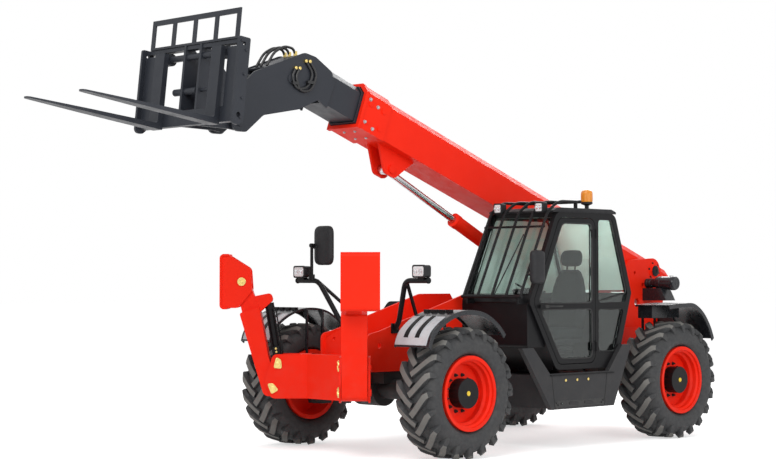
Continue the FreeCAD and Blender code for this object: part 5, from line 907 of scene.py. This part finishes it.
def add_hoops():
    """The bent tubes that carry the headlamps, with their feet, clamps and the mirror's arm."""
    hoops = Form()
    face = PLATE_SIDE + CLAMP
    for side in (-1, 1):
        for along in (1.590, 1.330):
            hoops.block((along - 0.045, along + 0.045), span(PLATE_SIDE, face, side), (1.090, 1.180))
            for x, z in ((-0.032, -0.032), (0.032, 0.032), (-0.032, 0.032), (0.032, -0.032)):
                hoops.bolt(at(along + x, face * side, HOOP_FOOT + z) @ toward((0, side, 0)), 0.008)
        main = [(1.590, 0.324, HOOP_FOOT), (1.610, 0.390, 1.195), (HOOP_X, 0.575, HOOP_LEVEL),
                (HOOP_X, 0.860, HOOP_LEVEL)]
        stay = [(1.330, 0.324, HOOP_FOOT), (1.340, 0.370, 1.185), (HOOP_X, 0.590, HOOP_LEVEL)]
        hoops.tube(rounded([(x, y * side, z) for x, y, z in main], 0.07, 6, False), 0.024, segments=16)
        hoops.tube(rounded([(x, y * side, z) for x, y, z in stay], 0.05, 5, False), 0.017, segments=12)
        hoops.block((HOOP_X - 0.025, HOOP_X + 0.025), span(0.755, 0.825, side), (HOOP_LEVEL, 1.5947))
        hoops.lathe([(0.026, -0.010), (0.028, -0.006), (0.028, 0.006), (0.026, 0.010)],
                    at(HOOP_X, 0.862 * side, HOOP_LEVEL) @ toward((0, side, 0)), 20)
    x, y = MIRROR_ARM
    hoops.tube([(x, y, HOOP_LEVEL), (x, y, MIRROR_LEVEL + 0.020)], 0.015, segments=12)
    hoops.lathe([(0.030, -0.028), (0.030, 0.028)], at(x, y, HOOP_LEVEL + 0.030), 20)
    hoops.lathe([(0.019, 1.7003), (0.019, x + 0.018)], at(0, y, MIRROR_LEVEL) @ turn(90, "Y"), 16)
    hoops.piece("lamp_tubes", "chassis", [BLACK], 0.0015, replaces=("lamp_hoops",))


def add_mirror(word, facing, half_x, half_y, corner, rim, arm=()):
    """A mirror: its shell, flat behind and domed in front, with the glass inside its rim."""
    mirror = Form()
    mirror.loft([layer(panel(half_x - inset, half_y - inset, corner), SHELL_DEPTH * share)
                 for share, inset in SHELL], facing)
    mirror.prism(panel(half_x - rim, half_y - rim, corner - 0.005), -0.0015, 0.001, facing, 1)
    if arm:
        mirror.tube(arm, 0.015, facing, 16)
    mirror.piece("mirror_shell_" + word, "chassis", [PLASTIC, MIRROR],
                 replaces=("mirror_" + word,))


def add_mirrors():
    """The right mirror on its post and the left one at the cab's front corner."""
    facing = at(1.640, -0.556, MIRROR_LEVEL) @ turn(90, "Y") @ turn(90, "Z")
    add_mirror("right", facing, 0.118, 0.185, 0.07, 0.010, [(-0.096, -0.02, 0.052), (-0.055, -0.02, 0.062)])
    add_mirror("left", at(0.635, 1.180, 1.692) @ turn(-90, "X"), 0.087, 0.152, 0.05, 0.009)


def add_beacon():
    """The beacon's foot and its ribbed dome."""
    beacon = Form()
    place = at(-0.50, 0.86, ROOF_TOP)
    beacon.lathe(BEACON_FOOT, place, 40)
    beacon.lathe(BEACON_DOME, place, 40, 1)
    for index in range(BEACON_RIBS):
        rib = place @ turn(360 / BEACON_RIBS * index, "Z")
        beacon.tube([(0.0555, 0, 0.086), (0.0555, 0, 0.160), (0.051, 0, 0.180)], 0.0018, rib, 6, False, 1)
    beacon.piece("beacon_lamp", "chassis", [PLASTIC, AMBER], replaces=("beacon",))


# Air cleaner as (radius, distance from the middle plane), and its bracket as (y, z)
CLEANER = ((0.040, 0.2363), (0.050, 0.238), (0.050, 0.262), (0.046, 0.266), (0.046, 0.285), (0.052, 0.288),
           (0.052, 0.300), (0.046, 0.303), (0.046, 0.360), (0.060, 0.378), (0.071, 0.386), (0.071, 0.430),
           (0.0735, 0.432), (0.0735, 0.440), (0.071, 0.442), (0.071, 0.560), (0.0745, 0.562), (0.0745, 0.600),
           (0.066, 0.614), (0.050, 0.616), (0.048, 0.612), (0.018, 0.612), (0.016, 0.616))
CLEANER_BRACKET = ((0.2363, 1.358), (0.546, 1.358), (0.476, 1.488), (0.2363, 1.488))


def add_air_cleaner():
    """The air cleaner's canister with its neck, clips and bracket."""
    cleaner = Form()
    place = at(-2.28, 0.0, 1.54) @ turn(-90, "X")
    cleaner.lathe(CLEANER, place, 48)
    for index in range(3):
        clip = place @ turn(120 * index + 20, "Z") @ shift(0.0745, 0, 0.545)
        cleaner.block((-0.003, 0.004), (-0.010, 0.010), (-0.020, 0.025), clip)
    cleaner.loft([[(x, y, z) for y, z in CLEANER_BRACKET] for x in (-2.36, -2.20)], HERE)
    cleaner.piece("air_filter", "chassis", [GLOSSY], 0.0015, replaces=("air_cleaner",))


# Pins, keepers and bolts

# (radius, height) outlines of the pins' ends
KEEPER_PIN = ((0.024, 0.0125), (0.024, 0.0175), (0.020, 0.019))
PAD_PIN = ((0.039, -0.012), (0.039, 0.0015), (0.036, 0.004), (0.026, 0.004), (0.024, 0.001), (0.014, 0.001),
           (0.012, 0.005), (0.0, 0.006))
PIVOT_PIN = ((0.058, 0.0), (0.058, 0.010), (0.050, 0.014), (0.020, 0.014), (0.018, 0.010), (0, 0.010))
# Each keeper's pin as (out, height, lean in degrees)
KEEPERS = ((0.254, 0.812, 0), (*LEG_HINGE, 35))
KEEPER_PLATE = ((-0.040, -0.036), (0.036, -0.042), (0.030, 0.040), (-0.016, 0.064))
COLLAR_SIDE = 0.182 + 0.014 + 0.0005
TOWER_BOLT_CIRCLE = 0.085
CARRIAGE_BOLTS = ((0.40, -0.06), (0.40, 0.10), (0.40, 0.30), (0.40, 0.50), (0.45, 0.57))


def leg_point(across, along):
    """A point (out, height) seen from the leg's hinge along its leaning axis."""
    sine, cosine = math.sin(LEG_LEAN), math.cos(LEG_LEAN)
    out, level = LEG_HINGE
    return out + along * sine + across * cosine, level + along * cosine - across * sine


def add_stabiliser_pins():
    """Yellow keepers on the stabiliser frame and pin ends on the foot plates."""
    keepers = Form()
    for side in (1, -1):
        for out, level, lean in KEEPERS:
            place = LEG[side] @ shift(out, -0.136 * side, level) @ toward((0, -side, 0)) @ turn(lean, "Z")
            keepers.prism(rounded(KEEPER_PLATE, 0.02), 0.0, 0.0125, place)
            keepers.lathe(KEEPER_PIN, place @ shift(0, -0.004, 0), 24)
            keepers.bolt(place @ shift(-0.012, 0.040, 0.0125), 0.008)
    keepers.piece("pin_keepers", "chassis", [ZINC], 0.0008)

    out, level = leg_point(0.0, PAD_PIN_REACH)
    for side, word in SIDES:
        ends = Form()
        for end in (1, -1):
            ends.lathe(PAD_PIN, LEG[side] @ shift(out, 0.103 * end, level) @ toward((0, end, 0)), 32)
        ends.piece("pad_pin_ends_" + word, "pad_" + word, [ZINC], 0.0006)


def add_boom_bolts():
    """The bolts of the boom's collar, and the pivot's cover with its bolts on the tower."""
    collar = Form()
    for end in (1, -1):
        for back, level in ((0.075, 0.020), (0.185, -0.010), (0.075, -0.200), (0.185, -0.225)):
            place = BOOM @ shift(BOOM_FRONT - back, COLLAR_SIDE * end, level)
            collar.bolt(place @ toward((0, end, 0)), 0.015)
    for back in (0.10, 0.25):
        for y in (-0.07, 0.07):
            collar.bolt(BOOM @ shift(BOOM_FRONT - back, y, 0.1445), 0.012)
            collar.bolt(BOOM @ shift(BOOM_FRONT - back, y, -0.2745) @ turn(180, "X"), 0.012)
    collar.piece("collar_bolts", "boom", [STEEL], 0.0006)

    tower = Form()
    x, z = BOOM_PIVOT
    for end in (1, -1):
        outward = toward((0, end, 0))
        tower.lathe(PIVOT_PIN, at(x, 0.2505 * end, z) @ outward, 32)
        for index in range(6):
            angle = math.radians(60 * index + 15)
            across, up = TOWER_BOLT_CIRCLE * math.sin(angle), TOWER_BOLT_CIRCLE * math.cos(angle)
            tower.bolt(at(x + across, 0.2365 * end, z + up) @ outward, 0.010)
    tower.piece("tower_bolts", "chassis", [BLACK], 0.0006)


# Lines and fittings

# A steel line along a stabiliser's cylinder, and a hose end's steps as (radius, height)
LEG_LINE = ((0.036, 0, 0.075), (0.052, 0, 0.095), (0.052, 0, 0.50), (0.036, 0, 0.52))
LINE_END = ((0.011, 0.070), (0.011, 0.086), (0.007, 0.086), (0.007, 0.096))


def add_leg_lines():
    """Valve block, steel lines and clamps on each stabiliser cylinder."""
    out, level = LEG_CYLINDER_FOOT
    eye = leg_point(-0.185, 0.8)
    along = Vector((eye[0] - out, 0.0, eye[1] - level)).normalized()
    for side, word in SIDES:
        lines = Form()
        barrel = LEG[side] @ shift(out, 0.0, level) @ toward(along)
        for degrees in (-40, 40, 100):
            lines.tube(rounded(LEG_LINE, 0.02, 4, False), 0.0065, barrel @ turn(degrees, "Z"), 8)
        lines.block((0.034, 0.072), (-0.032, 0.032), (0.060, 0.160), barrel)
        lines.block((-0.030, 0.030), (0.034, 0.062), (0.110, 0.200), barrel)
        for z in (0.24, 0.38):
            lines.lathe([(0.040, z), (0.040, z + 0.022)], barrel, 28)
        for z in (0.080, 0.110, 0.140):
            lines.lathe(LINE_END, barrel @ shift(0, 0, z) @ toward((1, 0, 0)), 6, 1)
        lines.piece("leg_lines_" + word, "leg_barrel_" + word, [BLACK, ZINC], 0.0012)


def add_head_lines():
    """Clipped hoses with their fittings on the boom head, and the carriage's bolts."""
    hoses = Form()
    low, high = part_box("boom_head")
    end = BOOM @ Vector((4.96, 0, 0))
    middle = (low[1] + high[1]) / 2
    side = high[1] - 0.012 - middle

    def local(x, y, z):
        return (end.x + x, middle + y, end.z + z)

    def hose(points, reach, radius):
        hoses.tube(smooth_path(rounded(points, reach, 4, False), 2), radius, Matrix.Identity(4))

    for back, drop in ((0.0, 0.0), (0.045, 0.02)):
        loop = ((0.300, 0.014, 0.130), (0.215, 0.016, 0.020), (0.290, 0.018, -0.110 - drop),
                (0.420, 0.018, -0.125 - drop), (0.470, 0.016, -0.020), (0.420, 0.014, 0.060))
        hose([local(x - back, side + y, z) for x, y, z in loop], 0.06, 0.0115)
    for x, z in ((0.300, 0.130), (0.255, 0.130), (0.420, 0.060), (0.375, 0.060)):
        place = Matrix.Translation(local(x, side, z)) @ toward((0, 1, 0))
        hoses.lathe([(0.017, 0.0), (0.017, 0.022), (0.012, 0.026)], place, 6, 1)
    for x, z in ((0.262, -0.055), (0.440, -0.075)):
        place = Matrix.Translation(local(x, side, z)) @ toward((0, 1, 0))
        hoses.block((-0.030, 0.040), (-0.012, 0.012), (0.0, 0.034), place)
    for y in (-0.09, -0.03, 0.05):
        bow = [local(0.305, y, 0.196), local(0.330, y, 0.250), local(0.440, y + 0.01, 0.262),
               local(0.560, y + 0.01, 0.200), local(0.640, y, 0.074)]
        hose(bow, 0.05, 0.012)
        hoses.lathe([(0.018, -0.010), (0.018, 0.030), (0.013, 0.034)], Matrix.Translation(bow[0]), 6, 1)
    hoses.piece("head_hoses", "boom_third", [HOSE, ZINC], 0.0005)

    carriage = Form()
    for end_side in (1, -1):
        for x, z in CARRIAGE_BOLTS:
            carriage.bolt(CARRIAGE @ shift(x, 0.6605 * end_side, z) @ toward((0, end_side, 0)), 0.011)
    carriage.piece("carriage_bolts", "fork_carriage", [GREY], 0.0006)


def add_hood_details():
    """Louvres and handles of the engine hood."""
    hood = Form()
    root, lip = HOOD_SIDE + 0.0005, HOOD_SIDE - 0.009
    for near in (-0.53, -0.15):
        far = near + 0.28
        for row in range(7):
            low = 0.80 + 0.045 * row
            high = low + 0.022
            flat = [(near, root, low), (far, root, low), (far, root, high), (near, root, high)]
            lifted = [(near, lip, low - 0.006), (far, lip, low - 0.006), (far, HOOD_SIDE, high),
                      (near, HOOD_SIDE, high)]
            hood.loft([flat, lifted], HERE)
    for x in (-0.62, 0.22):
        bow = [(x + along, HOOD_SIDE - out, 0.70)
               for along, out in ((-0.03, 0.0), (-0.03, 0.012), (0.03, 0.012), (0.03, 0.0))]
        hood.tube(rounded(bow, 0.01, 3, False), 0.005, segments=8)
    hood.piece("hood_louvres", "hood", [BLACK], 0.0008)


# Seat

SEAT_PLACE = (-0.13, CAB_MIDDLE, 1.13)
BASE_FLOOR = 0.7853
BELLOWS = 5
BELLOWS_PITCH = 0.030
VOXEL = 0.0065
PRESSURE = 4.0
CLOTH_FRAMES = 20
# Back and head rest as (height, middle, half depth, half width) seen from the cushion's top middle
SEAT_BACK = ((-0.035, -0.203, 0.050, 0.195), (-0.010, -0.206, 0.058, 0.212), (0.120, -0.222, 0.060, 0.220),
             (0.260, -0.239, 0.056, 0.212), (0.380, -0.253, 0.050, 0.190), (0.470, -0.264, 0.044, 0.160),
             (0.530, -0.271, 0.038, 0.125), (0.553, -0.274, 0.024, 0.095))
HEAD_REST = ((0.578, -0.288, 0.022, 0.085), (0.592, -0.287, 0.036, 0.108), (0.630, -0.286, 0.044, 0.120),
             (0.680, -0.290, 0.045, 0.120), (0.712, -0.296, 0.038, 0.106), (0.730, -0.300, 0.022, 0.085))
# Cushion as (forward, middle height, half height, half width)
SEAT_CUSHION = ((-0.240, -0.070, 0.040, 0.190), (-0.215, -0.068, 0.050, 0.212), (0.050, -0.062, 0.052, 0.222),
                (0.190, -0.058, 0.052, 0.218), (0.235, -0.062, 0.042, 0.205), (0.252, -0.070, 0.026, 0.185))


def apply_modifiers(item):
    """Keep what the modifiers make and drop them."""
    graph = bpy.context.evaluated_depsgraph_get()
    mesh = bpy.data.meshes.new_from_object(item.evaluated_get(graph))
    item.modifiers.clear()
    item.data = mesh


def swell(pad, cap):
    """Blow a pad up by a short cloth simulation, no point further than a cap."""
    start = [vertex.co.copy() for vertex in pad.data.vertices]
    soft = pad.modifiers.new("soft", "CLOTH")
    soft.settings.use_pressure = True
    soft.settings.uniform_pressure_force = PRESSURE
    soft.settings.effector_weights.gravity = 0.0
    soft.settings.quality = 4
    for step in range(CLOTH_FRAMES):
        bpy.context.scene.frame_set(step + 1)
    apply_modifiers(pad)
    bpy.context.scene.frame_set(1)
    for vertex, place in zip(pad.data.vertices, start):
        moved = vertex.co - place
        if moved.length > cap:
            vertex.co = place + moved.normalized() * cap


def stuffed(name, sections, cap):
    """A stuffed pad: an evenly meshed closed form, blown up a little and smoothed."""
    form = Form()
    form.loft(sections, HERE)
    pad = form.piece(name, "chassis", [CLOTH])
    bpy.context.view_layer.objects.active = pad
    remesh = pad.modifiers.new("even", "REMESH")
    remesh.mode = "VOXEL"
    remesh.voxel_size = VOXEL
    apply_modifiers(pad)
    swell(pad, cap)
    smooth = pad.modifiers.new("round", "SUBSURF")
    smooth.levels = 1
    smooth.render_levels = 1
    apply_modifiers(pad)
    pad.data.polygons.foreach_set("use_smooth", [True] * len(pad.data.polygons))
    return pad


def pad_ring(half_x, half_y, dish=0.0, count=36):
    """A softened rectangle whose front face is hollowed between its two bolsters."""
    points = []
    for index in range(count):
        angle = math.tau * index / count
        x = half_x * math.copysign(abs(math.cos(angle)) ** 0.55, math.cos(angle))
        y = half_y * math.copysign(abs(math.sin(angle)) ** 0.55, math.sin(angle))
        if x > 0:
            x += dish * (min(abs(y) / half_y / 0.85, 1.0) ** 3 - 0.7)
        points.append((x, y))
    return points


def upright_pad(rows, dish=0.0):
    """Level sections of the seat's back or head rest."""
    x, y, z = SEAT_PLACE
    return [[(x + middle + px, y + py, z + level) for px, py in pad_ring(half_x, half_y, dish)]
            for level, middle, half_x, half_y in rows]


def add_piping(pad, name, points, inward):
    """Lay sewn piping on a pad's face along a closed path."""
    seam = Form()
    path = []
    for point in rounded(points, 0.03):
        hit, place = pad.ray_cast(HERE @ (point - inward * 0.4), inward)[:2]
        if hit:
            path.append(place - inward * 0.0005)
    seam.tube(path, 0.0028, Matrix.Identity(4), 8, True)
    seam.piece(name, "chassis", [SEAM])


def add_seat():
    """Cushion, back and head rest with side bolsters and piping."""
    x, y, z = SEAT_PLACE
    cushion = stuffed("seat_cushion", [[(x + ahead, y + py, z + middle + px)
                                        for px, py in pad_ring(half_z, half_y, 0.018)]
                                       for ahead, middle, half_z, half_y in SEAT_CUSHION], 0.010)
    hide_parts("seat")
    back = stuffed("seat_back", upright_pad(SEAT_BACK, 0.022), 0.012)
    stuffed("head_rest", upright_pad(HEAD_REST), 0.008)
    for name, rows in (("back_piping", ((-0.115, 0.02), (0.115, 0.02), (0.095, 0.46), (-0.095, 0.46))),
                       ("back_seam", ((-0.110, 0.19), (0.110, 0.19), (0.110, 0.21), (-0.110, 0.21)))):
        add_piping(back, name, [(x, y + across, z + level) for across, level in rows], Vector((-1, 0, 0)))
    rows = ((-0.150, -0.125), (0.190, -0.125), (0.190, 0.125), (-0.150, 0.125))
    path = [(x + ahead, y + across, z) for ahead, across in rows]
    add_piping(cushion, "cushion_piping", path, Vector((0, 0, -1)))


def add_seat_base():
    """The suspension base with its bellows, and the head rest's two posts."""
    x, y, z = SEAT_PLACE
    place = at(x - 0.01, y, 0)
    base = Form()
    base.prism(panel(0.17, 0.165, 0.02), BASE_FLOOR, BASE_FLOOR + 0.03, place)
    waist, fold = panel(0.135, 0.135, 0.03), panel(0.150, 0.150, 0.03)
    for index in range(BELLOWS):
        level = BASE_FLOOR + 0.03 + BELLOWS_PITCH * index
        base.loft([layer(waist, level), layer(fold, level + BELLOWS_PITCH / 2),
                   layer(waist, level + BELLOWS_PITCH)], place)
    base.block((x - 0.20, x + 0.18), (y - 0.18, y + 0.18), (BASE_FLOOR + 0.18, z - 0.121))
    for across in (-0.05, 0.05):
        base.tube([(x - 0.272, y + across, z + 0.50), (x - 0.288, y + across, z + 0.61)], 0.008)
    base.piece("seat_base", "chassis", [PLASTIC], 0.002)


# (radius, height) outlines of the steering wheel's boss and of a lever
BOSS = ((0.045, -0.022), (0.050, -0.012), (0.050, 0.012), (0.036, 0.022), (0, 0.024))
LEVER = ((0.030, -0.10), (0.034, -0.02), (0.026, 0.0), (0.010, 0.03), (0.010, 0.10), (0.022, 0.13),
         (0.026, 0.18), (0.016, 0.205), (0, 0.21))
# A spoke's two ends as (distance from the middle, half width, half thickness)
SPOKE = ((0.04, 0.016, 0.006), (0.168, 0.011, 0.004))


def add_controls():
    """Spokes and boss of the steering wheel, a lever and the screen on the dash."""
    controls = Form()
    wheel = at(0.190, CAB_MIDDLE, 1.4573) @ turn(-35, "Y")
    controls.lathe(BOSS, wheel, 32)
    for angle in (90, 210, 330):
        controls.loft([[(out, -wide, -thick), (out, wide, -thick), (out, wide, thick), (out, -wide, thick)]
                       for out, wide, thick in SPOKE], wheel @ turn(angle, "Z"))
    lever = at(0.02, CAB_MIDDLE - 0.29, 1.20)
    controls.lathe(LEVER, lever, 20)
    controls.block((-0.16, 0.10), (-0.055, 0.055), (-0.16, -0.02), lever)
    screen = at(0.440, CAB_MIDDLE + 0.10, 1.43) @ turn(-62, "Y")
    controls.prism(panel(0.055, 0.09, 0.015), 0.0, 0.022, screen)
    controls.piece("controls", "chassis", [PLASTIC], 0.0015)


# Floor, surround, lights and camera

FLOOR_REACH = 90.0
FLOOR_GREY = 0.88
FLOOR_GLOW = 0.57
SURROUND_LIGHT = 0.5
SURROUND_SHOWN = 1.0
# Each light's place, power and size
LIGHTS = (
    ("key_light", (9.0, 5.0, 9.0), 700.0, 6.0),
    ("fill_light", (1.0, 12.0, 5.0), 430.0, 7.0),
    ("rim_light", (-9.0, -4.0, 7.0), 400.0, 5.0),
)
LIGHT_TARGET = Vector((0, 0, 1.2))
CAMERA_PLACE = (13.108, 11.864, 1.568)
CAMERA_HEADING = math.radians(44.71)
CAMERA_PITCH = math.radians(1.63)
CAMERA_LENS = 83.2
SENSOR_WIDTH = 36.0


def either(tree, first, second):
    """The larger of two values."""
    node = tree.nodes.new("ShaderNodeMath")
    node.operation = "MAXIMUM"
    tree.links.new(first, node.inputs[0])
    tree.links.new(second, node.inputs[1])
    return node.outputs["Value"]


def add_floor():
    """A pale floor that the camera sees as the plain backdrop, with the machine's shadow on it."""
    corners = [(x * FLOOR_REACH, y * FLOOR_REACH, 0) for x, y in ((-1, -1), (1, -1), (1, 1), (-1, 1))]
    mesh = bpy.data.meshes.new("floor")
    mesh.from_pydata(corners, [], [(0, 1, 2, 3)])
    floor = bpy.data.objects.new("floor", mesh)
    bpy.context.collection.objects.link(floor)
    material = bpy.data.materials.new("floor_white")
    material.use_nodes = True
    tree = material.node_tree
    tree.nodes.clear()
    rays = tree.nodes.new("ShaderNodeLightPath").outputs
    diffuse = tree.nodes.new("ShaderNodeBsdfDiffuse")
    diffuse.inputs["Color"].default_value = (FLOOR_GREY, FLOOR_GREY, FLOOR_GREY, 1)
    glow = tree.nodes.new("ShaderNodeEmission")
    glow.inputs["Strength"].default_value = FLOOR_GLOW
    both = tree.nodes.new("ShaderNodeAddShader")
    choice = tree.nodes.new("ShaderNodeMixShader")
    out = tree.nodes.new("ShaderNodeOutputMaterial")
    for source, target in ((diffuse.outputs[0], both.inputs[0]), (glow.outputs[0], both.inputs[1]),
                           (either(tree, rays["Is Camera Ray"], rays["Is Glossy Ray"]), choice.inputs[0]),
                           (diffuse.outputs[0], choice.inputs[1]), (both.outputs[0], choice.inputs[2]),
                           (choice.outputs[0], out.inputs[0])):
        tree.links.new(source, target)
    mesh.materials.append(material)


def add_world():
    """A white surround, brighter where it is looked at than where it lights."""
    world = bpy.data.worlds.new("studio")
    bpy.context.scene.world = world
    world.use_nodes = True
    tree = world.node_tree
    tree.nodes.clear()
    rays = tree.nodes.new("ShaderNodeLightPath").outputs
    seen = either(tree, rays["Is Camera Ray"], rays["Is Transmission Ray"])
    strength = tree.nodes.new("ShaderNodeMapRange")
    strength.inputs["To Min"].default_value = SURROUND_LIGHT
    strength.inputs["To Max"].default_value = SURROUND_SHOWN
    tree.links.new(either(tree, seen, rays["Is Glossy Ray"]), strength.inputs["Value"])
    background = tree.nodes.new("ShaderNodeBackground")
    background.inputs["Color"].default_value = (1, 1, 1, 1)
    tree.links.new(strength.outputs[0], background.inputs["Strength"])
    out = tree.nodes.new("ShaderNodeOutputWorld")
    tree.links.new(background.outputs[0], out.inputs[0])


def aim(item, direction):
    """Turn a light or the camera to look along a direction."""
    item.rotation_euler = direction.to_track_quat("-Z", "Y").to_euler()


def add_lights():
    for name, place, power, size in LIGHTS:
        light = bpy.data.lights.new(name, "AREA")
        light.energy = power
        light.size = size
        lamp = bpy.data.objects.new(name, light)
        bpy.context.collection.objects.link(lamp)
        lamp.location = place
        aim(lamp, LIGHT_TARGET - Vector(place))


def add_camera():
    """The camera at the photograph's place and angle."""
    data = bpy.data.cameras.new("camera")
    data.lens = CAMERA_LENS
    data.sensor_width = SENSOR_WIDTH
    camera = bpy.data.objects.new("camera", data)
    bpy.context.collection.objects.link(camera)
    camera.location = at(*CAMERA_PLACE).translation
    level = math.cos(CAMERA_PITCH)
    ahead = (-math.sin(CAMERA_HEADING) * level, -math.cos(CAMERA_HEADING) * level, math.sin(CAMERA_PITCH))
    aim(camera, Vector(ahead))
    bpy.context.scene.camera = camera


dress_nodes()
for wheel_name, wheel_along, wheel_side in WHEELS:
    add_wheel(wheel_name, wheel_along, wheel_side)
    add_knuckle(wheel_name, wheel_along, wheel_side)
add_cab_seals()
add_cab_fittings()
add_box_fittings()
add_guard()
add_lamps()
add_hoops()
add_mirrors()
add_beacon()
add_air_cleaner()
add_stabiliser_pins()
add_boom_bolts()
add_leg_lines()
add_head_lines()
add_hood_details()
add_seat()
add_seat_base()
add_controls()
add_floor()
add_world()
add_lights()
add_camera()
bpy.context.scene.view_settings.view_transform = "Standard"
